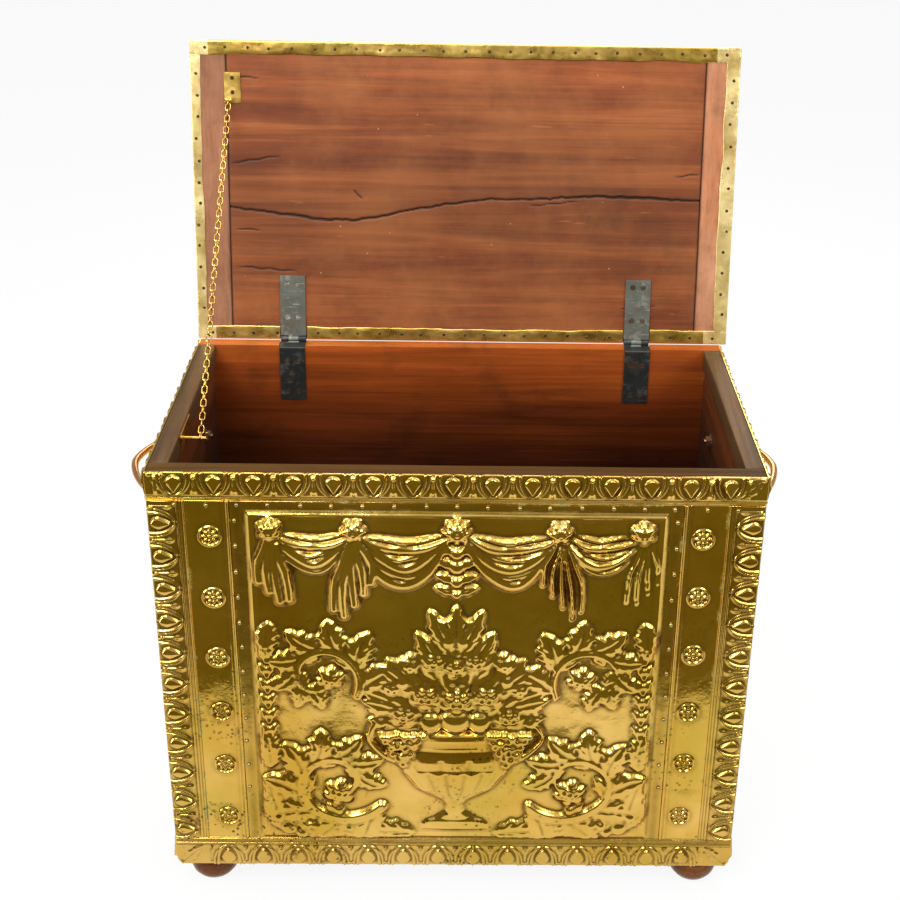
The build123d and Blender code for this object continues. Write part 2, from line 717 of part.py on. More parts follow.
def chain():
    """The stay chain in two lengths, parted at one link, and the hook and bracket that hold it."""
    hook, bracket = chain_ends()
    along = (bracket - hook).normalized()
    length = (bracket - hook).length
    end_radius = (link_width - link_wire) / 2
    parting = open_pivot_play - link_play
    taken = link_wire + link_play
    room = length + 2 * end_radius - taken - parting
    count = 2 * round(room / link_pitch / 2) + 1
    pitch = room / count
    centre_length = pitch + taken
    link = link_shape(centre_length)
    flat = along.cross(Vector(1, 0, 0)).normalized()
    crossed = flat.cross(along)
    halves = {"chain_lower_half": [], "chain_upper_half": []}
    for k in range(count):
        upper = k >= lower_links
        travel = k * pitch + centre_length / 2 - end_radius + (parting if upper else 0)
        wide = flat if k % 2 == 0 else crossed
        place = Plane(origin=hook + along * travel, x_dir=wide, z_dir=wide.cross(along)).location
        halves["chain_upper_half" if upper else "chain_lower_half"].append(place * link)
    nodes = {name: Compound(links) for name, links in halves.items()}

    plate_face = -side_rail_inner + hook_plate_thickness
    tip_x = hook.X + hook_tip_reach
    plate_top = rim - hook_plate_drop
    plate_y = (hook.Y - hook_plate_length / 2, hook.Y + hook_plate_length / 2)
    plate = block((-side_rail_inner, plate_face), plate_y, (plate_top - hook_plate_height, plate_top))
    small = slotted_screw(small_screw_radius, small_screw_neck, small_screw_length)
    small_hole = screw_shape(small_screw_radius, small_screw_neck, small_screw_length, screw_clearance)
    screw_z = plate_top - hook_plate_height / 2
    hook_screws = [
        Pos(plate_face, hook.Y + side * hook_screw_offset, screw_z) * Rot(0, 90, 0) for side in (-1, 1)
    ]
    plate -= [place * small_hole for place in hook_screws]
    bar = Pos((plate_face + tip_x) / 2, hook.Y, hook.Z) * Rot(0, 90, 0)
    plate += bar * extrude(RegularPolygon(hook_bar_radius, bar_sides), (tip_x - plate_face) / 2, both=True)
    tip = extrude(RegularPolygon(hook_bar_radius, bar_sides), hook_tip_rise + hook_bar_radius)
    nodes["chain_hook"] = plate + Pos(tip_x, hook.Y, hook.Z - hook_bar_radius) * tip
    nodes["chain_hook_screws"] = Compound([place * small for place in hook_screws])

    bar_y = bracket_y
    bar_z = lid_wood_under - bracket_stand_off
    plate_x = bracket_x + bracket_plate_shift
    under = lid_wood_under - bracket_plate_thickness
    base_plate = block(
        (plate_x - bracket_plate_width / 2, plate_x + bracket_plate_width / 2),
        (bar_y - bracket_plate_length, bar_y + 2 * hook_bar_radius),
        (under, lid_wood_under),
    )
    for side in (-1, 1):
        ear_x = bracket_x + side * (bracket_ear_gap + bracket_ear_thickness) / 2
        ear_span = (ear_x - bracket_ear_thickness / 2, ear_x + bracket_ear_thickness / 2)
        ear_y = (bar_y - bracket_ear_radius, bar_y + bracket_ear_radius)
        ear_end = (ear_x, bar_y, bar_z)
        base_plate += block(ear_span, ear_y, (bar_z, under))
        base_plate += tube_along_x(ear_end, bracket_ear_radius, bracket_ear_thickness, hole_sides)
    bar_length = bracket_ear_gap + bracket_ear_thickness
    bar = Pos(bracket_x, bar_y, bar_z) * Rot(0, 90, 0)
    base_plate += bar * extrude(RegularPolygon(hook_bar_radius, bar_sides), bar_length / 2, both=True)
    lid_screws = [Pos(plate_x, bar_y - along, under) * Rot(180, 0, 0) for along in bracket_screws]
    base_plate -= [place * small_hole for place in lid_screws]
    nodes["chain_bracket"] = swing * base_plate
    nodes["chain_bracket_screws"] = swing * Compound([place * small for place in lid_screws])
    return nodes


def kindling_box():
    """Every node by name, and the move that puts the origin under the middle of the whole depth."""
    nodes = {}
    for pieces in (carcass, feet, front_brass, side_brass, handles, lid, hinges, chain):
        nodes.update(pieces())
    bounds = [node.bounding_box() for node in nodes.values()]
    middle_y = (min(b.min.Y for b in bounds) + max(b.max.Y for b in bounds)) / 2
    return Vector(0, -middle_y, 0), nodes


def main():
    """Write one file for each node."""
    os.makedirs("parts", exist_ok=True)
    shift, nodes = kindling_box()
    for name, node in nodes.items():
        export_step(Pos(*shift) * node, f"parts/{name}.step")
    print(len(nodes), "nodes; moved by", shift)


main()
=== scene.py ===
"""The kindling box dressed for looks: pressed brass in relief, worn wood, hinges, chain and handles."""
import json
import math

import bmesh
import bpy
import numpy as np
from mathutils import Matrix, Vector


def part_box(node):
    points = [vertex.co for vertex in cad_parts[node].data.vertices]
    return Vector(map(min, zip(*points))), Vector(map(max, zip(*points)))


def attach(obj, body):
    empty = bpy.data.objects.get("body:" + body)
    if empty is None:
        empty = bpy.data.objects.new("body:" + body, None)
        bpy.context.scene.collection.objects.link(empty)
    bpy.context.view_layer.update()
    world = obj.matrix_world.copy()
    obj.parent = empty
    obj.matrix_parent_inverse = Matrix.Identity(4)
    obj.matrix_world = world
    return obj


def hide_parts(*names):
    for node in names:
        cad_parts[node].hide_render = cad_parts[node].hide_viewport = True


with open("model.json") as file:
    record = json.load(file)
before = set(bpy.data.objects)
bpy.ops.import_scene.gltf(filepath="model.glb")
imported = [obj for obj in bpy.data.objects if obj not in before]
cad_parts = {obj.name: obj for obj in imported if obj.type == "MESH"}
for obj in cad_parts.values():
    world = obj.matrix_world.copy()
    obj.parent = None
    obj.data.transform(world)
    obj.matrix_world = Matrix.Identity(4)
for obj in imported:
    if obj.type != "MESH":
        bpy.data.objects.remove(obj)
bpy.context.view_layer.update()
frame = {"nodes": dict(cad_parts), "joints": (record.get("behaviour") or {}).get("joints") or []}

MM = 0.001
FRONT, REAR, BASE, RIM, HALF = -138.2, 138.2, 31.0, 430.3, 250.0
SKIN = 0.8
HEIGHT = RIM - BASE
SHIFT_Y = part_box("front_board")[0].y / MM - (FRONT + SKIN)
joints = {joint["name"]: joint for joint in frame["joints"]}
HINGE = Vector(joints["lid_hinge"]["pos_m"])
OPEN = math.radians(100.4)
SWING = Matrix.Translation(HINGE) @ Matrix.Rotation(-OPEN, 4, "X") @ Matrix.Translation(-HINGE)
TO_ROW = Matrix.Translation((0, SHIFT_Y * MM, 0)) @ Matrix.Scale(MM, 4)
LID_WIDTH, LID_DEPTH = 508.0, 279.3
LID_MIDDLE, LID_REAR = 2.6, REAR + 1.5
LID_UNDER = RIM + 0.3
LID_WOOD = LID_UNDER + 0.6
LID_TOP = LID_WOOD + 11.6
HINGE_CENTRES, HINGE_GAP = (-160.5, 169.6), 12.6
CORNER = 9.0
SIDES = ((-1, "left"), (1, "right"))
COARSE = 1.0
rng = np.random.default_rng(7)


# Materials

def new_material(name, colour, metallic=0.0, roughness=0.5):
    """A material with its own Principled shader, and the short names of its parts."""
    material = bpy.data.materials.new(name)
    material.use_nodes = True
    tree = material.node_tree
    shader = tree.nodes["Principled BSDF"]
    shader.inputs["Base Color"].default_value = (*colour, 1)
    shader.inputs["Metallic"].default_value = metallic
    shader.inputs["Roughness"].default_value = roughness
    return material, tree, shader


class Nodes:
    """Short calls for the nodes of one material."""

    def __init__(self, tree):
        self.tree = tree
        self.place = self.add("ShaderNodeTexCoord").outputs["Object"]

    def add(self, kind, **values):
        node = self.tree.nodes.new(kind)
        for key, value in values.items():
            setattr(node, key, value)
        return node

    def join(self, source, socket):
        self.tree.links.new(source, socket)

    def stretch(self, scale, turn=(0, 0, 0)):
        node = self.add("ShaderNodeMapping")
        node.inputs["Scale"].default_value = scale
        node.inputs["Rotation"].default_value = turn
        self.join(self.place, node.inputs["Vector"])
        return node.outputs["Vector"]

    def noise(self, scale, detail=4.0, rough=0.55, vector=None, distort=0.0):
        node = self.add("ShaderNodeTexNoise")
        node.inputs["Scale"].default_value = scale
        node.inputs["Detail"].default_value = detail
        node.inputs["Roughness"].default_value = rough
        node.inputs["Distortion"].default_value = distort
        self.join(vector or self.place, node.inputs["Vector"])
        return node.outputs["Fac"]

    def cells(self, scale):
        node = self.add("ShaderNodeTexVoronoi")
        node.inputs["Scale"].default_value = scale
        self.join(self.place, node.inputs["Vector"])
        return node.outputs["Distance"]

    def value(self, name):
        return self.add("ShaderNodeAttribute", attribute_name=name).outputs["Fac"]

    def ramp(self, source, stops):
        node = self.add("ShaderNodeValToRGB")
        points = node.color_ramp.elements
        while len(points) < len(stops):
            points.new(0.5)
        for point, (place, colour) in zip(points, stops):
            point.position = place
            point.color = (*colour, 1) if hasattr(colour, "__len__") else (colour, colour, colour, 1)
        self.join(source, node.inputs["Fac"])
        return node.outputs["Color"]

    def mix(self, share, first, second, blend="MIX"):
        node = self.add("ShaderNodeMix", data_type="RGBA", blend_type=blend)
        for key, item in (("Factor", share), ("A", first), ("B", second)):
            socket = node.inputs[key]
            if hasattr(item, "links"):
                self.join(item, socket)
            elif hasattr(item, "__len__"):
                socket.default_value = (*item, 1)
            else:
                socket.default_value = item if socket.name == "Factor" else (item, item, item, 1)
        return node.outputs["Result"]

    def math(self, kind, first, second=0.0, clamp=False):
        node = self.add("ShaderNodeMath", operation=kind, use_clamp=clamp)
        for socket, item in zip(node.inputs, (first, second)):
            if hasattr(item, "links"):
                self.join(item, socket)
            else:
                socket.default_value = item
        return node.outputs["Value"]

    def bump(self, source, strength, depth, before=None):
        node = self.add("ShaderNodeBump")
        node.inputs["Strength"].default_value = strength
        node.inputs["Distance"].default_value = depth
        self.join(source, node.inputs["Height"])
        if before:
            self.join(before, node.inputs["Normal"])
        return node.outputs["Normal"]

    def axis(self, letter):
        node = self.add("ShaderNodeSeparateXYZ")
        self.join(self.place, node.inputs["Vector"])
        return node.outputs[letter]


def brass_material(name, bright=(0.90, 0.60, 0.17), dull=(0.66, 0.40, 0.055), rough=(0.11, 0.28), spots=0.5,
                   waves=0.5, highlight_beyond=None):
    """Old pressed brass: tarnish in the hollows, stains, fine pits, green in the seams, and a painted
    highlight beyond a given width when one is asked for.
    """
    material, tree, shader = new_material(name, bright, 1.0)
    n = Nodes(tree)
    cloud = n.noise(9.0, 5.0, 0.6)
    colour = n.mix(n.ramp(cloud, [(0.38, 0.0), (0.66, 1.0)]), bright, dull)
    olive = n.ramp(n.noise(14.0, 4.0, 0.6), [(0.45, 0.0), (0.65, 0.45)])
    colour = n.mix(olive, colour, (0.60, 0.47, 0.07))
    hollow = n.value("hollow")
    grime = n.math("MULTIPLY", hollow, n.ramp(n.noise(45.0), [(0.25, 0.45), (0.7, 1.0)]), True)
    colour = n.mix(grime, colour, (0.10, 0.050, 0.006))
    low = n.ramp(n.axis("Z"), [(0.05, 1.0), (0.34, 0.10)])
    pits = n.ramp(n.cells(190.0), [(0.16, 1.0), (0.34, 0.0)])
    patchy = n.ramp(n.noise(19.0, 5.0, 0.65), [(0.5, 0.0), (0.60, 1.0)])
    blots = n.ramp(n.noise(62.0, 6.0, 0.78), [(0.575, 0.0), (0.63, 1.0)])
    pits = n.math("MAXIMUM", pits, n.math("MULTIPLY", blots, 0.8))
    pitted = n.math("MULTIPLY", n.math("MULTIPLY", pits, patchy), n.math("MULTIPLY", low, spots), True)
    colour = n.mix(pitted, colour, (0.07, 0.035, 0.015))
    green = n.ramp(n.noise(38.0, 6.0, 0.7), [(0.52, 0.0), (0.64, 1.0)])
    seam = n.math("MULTIPLY", n.value("seam"), green, True)
    colour = n.mix(seam, colour, (0.15, 0.21, 0.075))
    # Painted highlight: beyond a given width from the middle, the brass is painted pale and made less
    # metallic, so the lid edge's ends look lit.
    pale = 0.0
    if highlight_beyond is not None:
        pale = n.math("GREATER_THAN", n.math("ABSOLUTE", n.axis("X")), highlight_beyond)
        pale = n.math("MULTIPLY", pale, n.ramp(n.noise(30.0, 4.0, 0.6), [(0.38, 1.0), (0.68, 0.35)]))
        colour = n.mix(pale, colour, (1.0, 0.80, 0.38))
    n.join(colour, shader.inputs["Base Color"])
    fine = n.ramp(n.noise(70.0, 6.0, 0.65), [(0.3, rough[0]), (0.75, rough[1])])
    fine = n.math("ADD", fine, n.math("MULTIPLY", grime, 0.35))
    n.join(n.math("ADD", fine, n.math("MULTIPLY", seam, 0.4), True), shader.inputs["Roughness"])
    metal = n.math("SUBTRACT", 1.0, n.math("MULTIPLY", seam, 0.85))
    n.join(n.math("SUBTRACT", metal, n.math("MULTIPLY", pale, 0.45), True), shader.inputs["Metallic"])
    normal = n.bump(n.noise(26.0, 3.0, 0.5), waves, 0.004)
    normal = n.bump(n.noise(260.0, 4.0, 0.6), 0.12, 0.0006, normal)
    n.join(n.bump(pitted, 0.3, -0.0004, normal), shader.inputs["Normal"])
    return material


def wood_material(name, dark, middle, light, along=0, gloss=0.55, grain=1.0, soil=0.5, stain_and_shade_ramp=(), specks=0.0,
                  inside=None, worn=0.0, shine=0.3):
    """Worn wood with its grain along one axis, stains, small scratches, and painted shade in cracks, at board
    joints and low inside the box.
    """
    material, tree, shader = new_material(name, middle)
    n = Nodes(tree)
    scale = [34.0, 34.0, 34.0]
    scale[along] = 1.7
    streaks = n.noise(1.6 * grain, 7.0, 0.62, n.stretch(scale), 0.6)
    colour = n.ramp(streaks, [(0.30, dark), (0.50, middle), (0.72, light)])
    fibre = [420.0, 420.0, 420.0]
    fibre[along] = 9.0
    fibres = n.noise(1.0, 3.0, 0.6, n.stretch(fibre))
    colour = n.mix(0.35, colour, n.ramp(fibres, [(0.35, dark), (0.6, light)]), "OVERLAY")
    patches = n.ramp(n.noise(5.0, 4.0, 0.6), [(0.36, 0.55), (0.62, 1.0)])
    colour = n.mix(0.55, colour, n.mix(1.0, colour, patches, "MULTIPLY"))
    if worn:
        colour = n.mix(n.ramp(n.noise(7.5, 6.0, 0.68), [(0.44, 0.0), (0.66, worn)]), colour, light)
    stain = n.math("MULTIPLY", n.ramp(n.noise(12.0, 5.0, 0.65), [(0.56, 0.0), (0.70, 1.0)]), soil)
    colour = n.mix(stain, colour, (0.05, 0.020, 0.006))
    scratch = [14.0, 90.0, 90.0]
    scratch = scratch[-along:] + scratch[:-along] if along else scratch
    scuffs = n.ramp(n.noise(2.2, 2.0, 0.5, n.stretch(scratch, (0.1, 0.2, 0.3))), [(0.72, 0.0), (0.78, 0.5)])
    colour = n.mix(scuffs, colour, light)
    # Multiplies by a ramp on height: a stain band across the lid, and painted shade that darkens the inside
    # walls towards the bottom of the box.
    if stain_and_shade_ramp:
        share = 1.0
        if inside is not None:
            share = n.math("LESS_THAN", n.axis("Y"), inside)
        colour = n.mix(share, colour, n.ramp(n.axis("Z"), stain_and_shade_ramp), "MULTIPLY")
    if specks:
        dots = n.ramp(n.cells(48.0), [(0.018, specks), (0.034, 0.0)])
        colour = n.mix(dots, colour, (0.80, 0.74, 0.66))
    shader.inputs["Specular IOR Level"].default_value = shine
    # Painted shade: where the hollow value is high, in cracks and in the joints between boards, the wood is
    # darkened nearly to black.
    colour = n.mix(n.value("hollow"), colour, (0.018, 0.009, 0.006))
    n.join(colour, shader.inputs["Base Color"])
    n.join(n.ramp(fibres, [(0.3, gloss - 0.08), (0.7, gloss + 0.15)]), shader.inputs["Roughness"])
    normal = n.bump(fibres, 0.25, 0.0006)
    n.join(n.bump(streaks, 0.3, 0.0012, normal), shader.inputs["Normal"])
    return material


def metal_material(name, base, worn, rust, rough=0.45, metallic=0.9, wear=0.5):
    """Painted, rusted or plain small ironwork."""
    material, tree, shader = new_material(name, base, metallic, rough)
    n = Nodes(tree)
    rubbed = n.ramp(n.noise(60.0, 6.0, 0.7), [(0.60 - 0.1 * wear, 0.0), (0.74, 1.0)])
    colour = n.mix(rubbed, base, worn)
    rusty = n.ramp(n.noise(34.0, 6.0, 0.7), [(0.55, 0.0), (0.70, wear)])
    colour = n.mix(rusty, colour, rust)
    scratch = n.ramp(n.noise(2.0, 2.0, 0.5, n.stretch((40, 40, 260), (0.3, 0.5, 0.2))),
                     [(0.66, 0.0), (0.72, 0.6)])
    colour = n.mix(scratch, colour, worn)
    n.join(colour, shader.inputs["Base Color"])
    n.join(n.ramp(n.noise(90.0, 5.0), [(0.3, rough - 0.12), (0.7, rough + 0.18)]), shader.inputs["Roughness"])
    n.join(n.bump(n.noise(150.0, 5.0, 0.65), 0.3, 0.0007), shader.inputs["Normal"])
    return material


front_brass = brass_material("front_brass", rough=(0.05, 0.17), spots=0.95, waves=0.15)
tack_brass = brass_material("tack_brass", (0.62, 0.54, 0.26), (0.34, 0.31, 0.15), (0.25, 0.45), 0.0, 0.1)
plain_brass = brass_material("plain_brass", spots=0.25, waves=0.35)
EDGE_LOOK = ((0.92, 0.62, 0.19), (0.60, 0.37, 0.08), (0.22, 0.42), 0.6, 0.6)
edge_brass = brass_material("edge_brass", *EDGE_LOOK)
lid_edge_brass = brass_material("lid_edge_brass", *EDGE_LOOK, highlight_beyond=0.2345)
chain_brass = brass_material("chain_brass", (0.90, 0.58, 0.16), (0.50, 0.30, 0.07), (0.14, 0.30), 0.0, 0.1)
copper = brass_material("copper", (0.78, 0.42, 0.18), (0.42, 0.20, 0.08), (0.16, 0.34), 0.0, 0.1)
lid_wood = wood_material(
    "lid_wood", (0.170, 0.044, 0.010), (0.270, 0.080, 0.018), (0.45, 0.160, 0.044), 0, specks=0.45, soil=0.3,
    worn=0.38,
    stain_and_shade_ramp=[(0.44, (0.95, 0.95, 0.95)), (0.53, (0.72, 0.72, 0.70)), (0.62, (0.76, 0.76, 0.74)),
          (0.69, (1.0, 1.0, 1.0))])
cleat_wood = wood_material(
    "cleat_wood", (0.27, 0.110, 0.044), (0.42, 0.19, 0.086), (0.57, 0.30, 0.17), 2, 0.6, soil=0.45, worn=0.5)
left_cleat_wood = wood_material(
    "left_cleat_wood", (0.19, 0.080, 0.034), (0.29, 0.130, 0.060), (0.42, 0.21, 0.115), 2, 0.6, soil=0.5,
    worn=0.5)
rail_wood = wood_material("rail_wood", (0.055, 0.024, 0.004), (0.108, 0.052, 0.010), (0.19, 0.095, 0.024), 0,
                          0.5, shine=0.12)
side_rail_wood = wood_material(
    "side_rail_wood", (0.070, 0.034, 0.011), (0.135, 0.073, 0.027), (0.23, 0.13, 0.055), 1, 0.5)
# Painted shade: the inside walls and floor of the box darken towards the bottom.
DEPTH_SHADE = [(0.20, (0.08, 0.07, 0.06)), (0.32, (0.13, 0.11, 0.08)), (0.375, (0.40, 0.36, 0.30)),
        (0.425, (1.0, 1.0, 1.0))]
wall_wood = wood_material(
    "wall_wood", (0.24, 0.060, 0.008), (0.42, 0.108, 0.015), (0.58, 0.165, 0.026), 0, 0.4, stain_and_shade_ramp=DEPTH_SHADE,
    inside=(REAR - 3.0 + SHIFT_Y) * MM)
side_wood = wood_material(
    "side_wood", (0.15, 0.045, 0.009), (0.26, 0.082, 0.018), (0.38, 0.13, 0.034), 1, 0.5, stain_and_shade_ramp=DEPTH_SHADE)
foot_wood = wood_material(
    "foot_wood", (0.075, 0.021, 0.004), (0.20, 0.068, 0.012), (0.42, 0.175, 0.035), 0, 0.16, 0.6, soil=0.3,
    shine=0.2)
strap_paint = metal_material("strap_paint", (0.024, 0.026, 0.024), (0.13, 0.14, 0.13), (0.12, 0.055, 0.02),
                             0.42, 0.35)
rubbed_paint = metal_material("rubbed_paint", (0.15, 0.155, 0.13), (0.42, 0.42, 0.36), (0.16, 0.08, 0.04),
                              0.40, 0.5)
rusty_steel = metal_material("rusty_steel", (0.10, 0.055, 0.030), (0.25, 0.19, 0.14), (0.16, 0.065, 0.025),
                             0.5, 0.7, 0.9)
zinc = metal_material("zinc", (0.62, 0.63, 0.63), (0.8, 0.8, 0.8), (0.25, 0.2, 0.15), 0.3, 1.0, 0.1)
dark_nails = metal_material("dark_nails", (0.085, 0.060, 0.030), (0.24, 0.18, 0.08), (0.08, 0.035, 0.015),
                            0.45, 0.9)


# Mesh helpers

def finish_mesh(name, mesh, material, body, replaced=()):
    """Puts a mesh in the scene as a named piece on a body."""
    piece = bpy.data.objects.new(name, mesh)
    bpy.context.collection.objects.link(piece)
    mesh.materials.append(material)
    mesh.polygons.foreach_set("use_smooth", [True] * len(mesh.polygons))
    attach(piece, body)
    if replaced:
        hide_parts(*replaced)


def give(mesh, name, values):
    """A value at each vertex that a material can read."""
    layer = mesh.attributes.new(name, "FLOAT", "POINT")
    layer.data.foreach_set("value", np.asarray(values, dtype=np.float32))


def blur(field, reach):
    """A field smoothed by two box averages of a given reach in cells."""
    reach = max(1, int(round(reach)))
    for _ in range(2):
        for axis in (0, 1):
            padded = np.pad(field, [(reach + 1, reach) if a == axis else (0, 0) for a in (0, 1)], mode="edge")
            total = np.cumsum(padded, axis=axis)
            upper = np.take(total, range(2 * reach + 1, total.shape[axis]), axis=axis)
            lower = np.take(total, range(0, total.shape[axis] - 2 * reach - 1), axis=axis)
            field = (upper - lower) / (2 * reach + 1)
    return field


def smooth_noise(shape, cells, seed):
    """Soft random waves between -1 and 1, with a given number of cells between waves."""
    values = np.random.default_rng(seed).standard_normal(shape)
    values = blur(values, cells / 2)
    return values / (np.abs(values).max() + 1e-9)


def relief(name, us, vs, heights, place, thickness, material, body, replaced=(), keep=None, seam=None,
           hollow_gain=1.5, extra_hollow=None):
    """A sheet in relief: a fine height field on its face, an edge all round and a flat back."""
    rows, columns = heights.shape
    U, V = np.meshgrid(us, vs)
    points = np.stack([U.ravel(), V.ravel(), heights.ravel()], axis=1)
    index = np.arange(rows * columns).reshape(rows, columns)
    quads = np.stack([index[:-1, :-1], index[:-1, 1:], index[1:, 1:], index[1:, :-1]], axis=-1).reshape(-1, 4)
    if keep is not None:
        inside = keep(U, V).ravel()
        quads = quads[inside[quads].all(axis=1)]
    edges = np.concatenate([quads[:, [a, (a + 1) % 4]] for a in range(4)])
    key = edges[:, 0].astype(np.int64) * len(points) + edges[:, 1]
    back_key = edges[:, 1].astype(np.int64) * len(points) + edges[:, 0]
    rim = edges[~np.isin(key, back_key)]
    follow = dict(zip(rim[:, 0].tolist(), rim[:, 1].tolist()))
    start = int(rim[0, 0])
    loop = [start]
    while follow[loop[-1]] != start:
        loop.append(follow[loop[-1]])
    used, packed = np.unique(quads, return_inverse=True)
    packed = packed.reshape(-1, 4)
    renumber = {int(old): new for new, old in enumerate(used)}
    ring = [renumber[old] for old in loop]
    back = points[loop].copy()
    back[:, 2] = -thickness
    count = len(used)
    after = ring[1:] + ring[:1]
    low = list(range(count, count + len(ring)))
    low_after = low[1:] + low[:1]
    sides = [[b, a, c, d] for a, b, c, d in zip(ring, after, low, low_after)]
    faces = packed.tolist() + sides + [low[::-1]]
    vertices = np.concatenate([points[used], back])
    matrix = np.array(place)
    vertices = vertices @ matrix[:3, :3].T + matrix[:3, 3]
    mesh = bpy.data.meshes.new(name)
    mesh.from_pydata(vertices.tolist(), [], faces)
    cell = us[1] - us[0]
    hollow = np.clip((blur(heights, 2.2 / cell) - heights) * hollow_gain, 0, 1)
    if extra_hollow is not None:
        hollow = np.maximum(hollow, extra_hollow)
    seams = np.zeros_like(heights) if seam is None else seam
    give(mesh, "hollow", np.concatenate([hollow.ravel()[used], np.zeros(len(ring))]))
    give(mesh, "seam", np.concatenate([seams.ravel()[used], np.zeros(len(ring))]))
    mesh.validate()
    finish_mesh(name, mesh, material, body, replaced)
    mesh.polygons.foreach_set("use_smooth", [True] * len(packed) + [False] * (len(sides) + 1))


def place_on(origin, across, up, swung=False):
    """The move from a sheet's own axes, in mm, to the row frame."""
    across, up = Vector(across), Vector(up)
    out = across.cross(up)
    matrix = Matrix((across, up, out)).transposed().to_4x4()
    matrix = TO_ROW @ Matrix.Translation(origin) @ matrix
    return SWING @ matrix if swung else matrix


def steps(low, high, cell):
    return np.linspace(low, high, max(2, int(round((high - low) / (cell * COARSE))) + 1))


def ridge(distance, width, height):
    return height * np.exp(-((distance / width) ** 2))


# Ornament of the pressed bands

def egg_band(s, t, width, pitch, first, last):
    """Egg and dart: s runs along the band, t from its outer edge (0) towards its points (width)."""
    a = np.mod(s - first + pitch / 2, pitch) - pitch / 2
    b = np.clip(t / width, 0, 1.2)
    inside = (s > first - pitch / 2) & (s < last + pitch / 2)
    half = pitch / 15.6
    upper = np.sqrt(np.clip(1 - ((b - 0.40) / 0.30) ** 2, 0, 1))
    lower = np.clip(1 - (b - 0.40) / 0.42, 0, 1) ** 0.62
    egg = 3.3 * half * np.where(b < 0.40, upper, lower)
    h = 2.6 * np.clip(1 - (a / np.maximum(egg, 0.05)) ** 2, 0, 1) ** 0.75
    for reach, rise, wide in ((4.9, 1.6, 0.95), (6.5, 1.2, 0.8)):
        shell = reach * half * np.clip(1 - np.clip(b / (0.94 + reach * 0.01), 0, 1) ** 2.6, 0, 1) ** 0.72
        h = np.maximum(h, ridge(np.abs(a) - shell, wide, rise) * (b < 0.97))
    c = pitch / 2 - np.abs(a)
    column = ridge(c, 0.9, 1.4) * ((b > 0.12) & (b < 0.9))
    column = np.maximum(column, ridge(c, 2.2, 1.6) * np.exp(-(((b - 0.74) / 0.14) ** 2)))
    pearl = 2.0 * np.sqrt(np.clip(1 - (c**2 + ((b - 0.16) * width) ** 2) / 2.0**2, 0, 1))
    h = np.maximum(h, np.maximum(column, pearl))
    return np.where(inside, h, 0) * (b < 1.02)


def band_profile(t, ovolo, width, lines):
    """The bare section of a band: an ovolo from the outer edge, then beads at given places."""
    arch = 1.5 * np.sqrt(np.clip(1 - ((t - ovolo * 0.5) / (ovolo * 0.5)) ** 2, 0, 1))
    for place, wide, rise in lines:
        arch = np.maximum(arch, ridge(t - place, wide, rise))
    return arch


def leaf(H, X, Z, root, angle, length, width, height, bend, lobes):
    """Raises a veined leaf with lobed edges out of a height field."""
    ca, sa = math.cos(angle), math.sin(angle)
    dx, dz = X - root[0], Z - root[1]
    s = (dx * ca + dz * sa) / length
    n = -dx * sa + dz * ca - bend * length * s * np.clip(1 - s, 0, 1)
    live = (s > 0) & (s < 1)
    sc = np.clip(s, 1e-4, 1)
    lobe = 1 + 0.13 * np.cos(2 * np.pi * lobes * (sc - 0.12))
    w = np.maximum(width * np.sin(np.pi * sc**0.8) ** 0.8 * lobe, 0.02)
    q = np.abs(n) / w
    body = np.sqrt(np.clip(1 - q**2.4, 0,
                           1)) * (0.50 + 0.50 * np.sin(np.pi * np.clip(0.10 + 0.75 * sc, 0, 1)))
    ribs = 0.09 * np.cos(2 * np.pi * lobes * (sc - 0.42 * q)) * np.clip(1.6 * q, 0, 1)
    vein = 0.26 * np.exp(-((n / (0.08 * width + 0.35)) ** 2))
    value = height * (body + ribs * body - vein * body)
    return np.where(live & (q < 1), np.maximum(H, value), H)


def flower(H, X, Z, centre, radius, height, petals, turn):
    """Raises an open flower with two rings of petals and a seeded heart."""
    dx, dz = X - centre[0], Z - centre[1]
    r, angle = np.hypot(dx, dz), np.arctan2(dz, dx)
    out = H
    for size, rise, shift in ((1.0, 0.72, 0.0), (0.62, 1.0, math.pi / petals)):
        swell = np.abs(np.cos(petals * (angle - turn - shift) / 2))
        edge = radius * size * (0.70 + 0.30 * swell**0.7)
        q = r / edge
        cup = (0.50 + 0.50 * np.sin(np.pi * np.clip(q, 0, 1) ** 1.3)) * (0.72 + 0.28 * swell**0.5)
        value = height * rise * cup * np.sqrt(np.clip(1 - q**5, 0, 1))
        out = np.where(q < 1, np.maximum(out, value), out)
    heart = r / (radius * 0.22)
    seeds = 1 + 0.10 * np.cos(dx * 2.6) * np.cos(dz * 2.6)
    value = height * 1.12 * np.sqrt(np.clip(1 - heart**2, 0, 1)) * seeds
    return np.where(heart < 1, np.maximum(out, value), out)


def ball(H, X, Z, centre, radius, height, floor=0.0, tall=1.0):
    q = ((X - centre[0]) / radius) ** 2 + ((Z - centre[1]) / (radius * tall)) ** 2
    return np.where(q < 1, np.maximum(H, floor + height * np.sqrt(np.clip(1 - q, 0, 1))), H)


def spline(points, count=60):
    """A smooth run of points through a few given ones."""
    points = np.array(points, dtype=float)
    padded = np.vstack([2 * points[0] - points[1], points, 2 * points[-1] - points[-2]])
    result = []
    per = max(2, count // (len(points) - 1))
    for i in range(len(points) - 1):
        p0, p1, p2, p3 = padded[i:i + 4]
        for t in np.linspace(0, 1, per, endpoint=False):
            result.append(0.5 * (2 * p1 + (p2 - p0) * t + (2 * p0 - 5 * p1 + 4 * p2 - p3) * t**2
                                 + (3 * p1 - p0 - 3 * p2 + p3) * t**3))
    result.append(points[-1])
    return np.array(result)


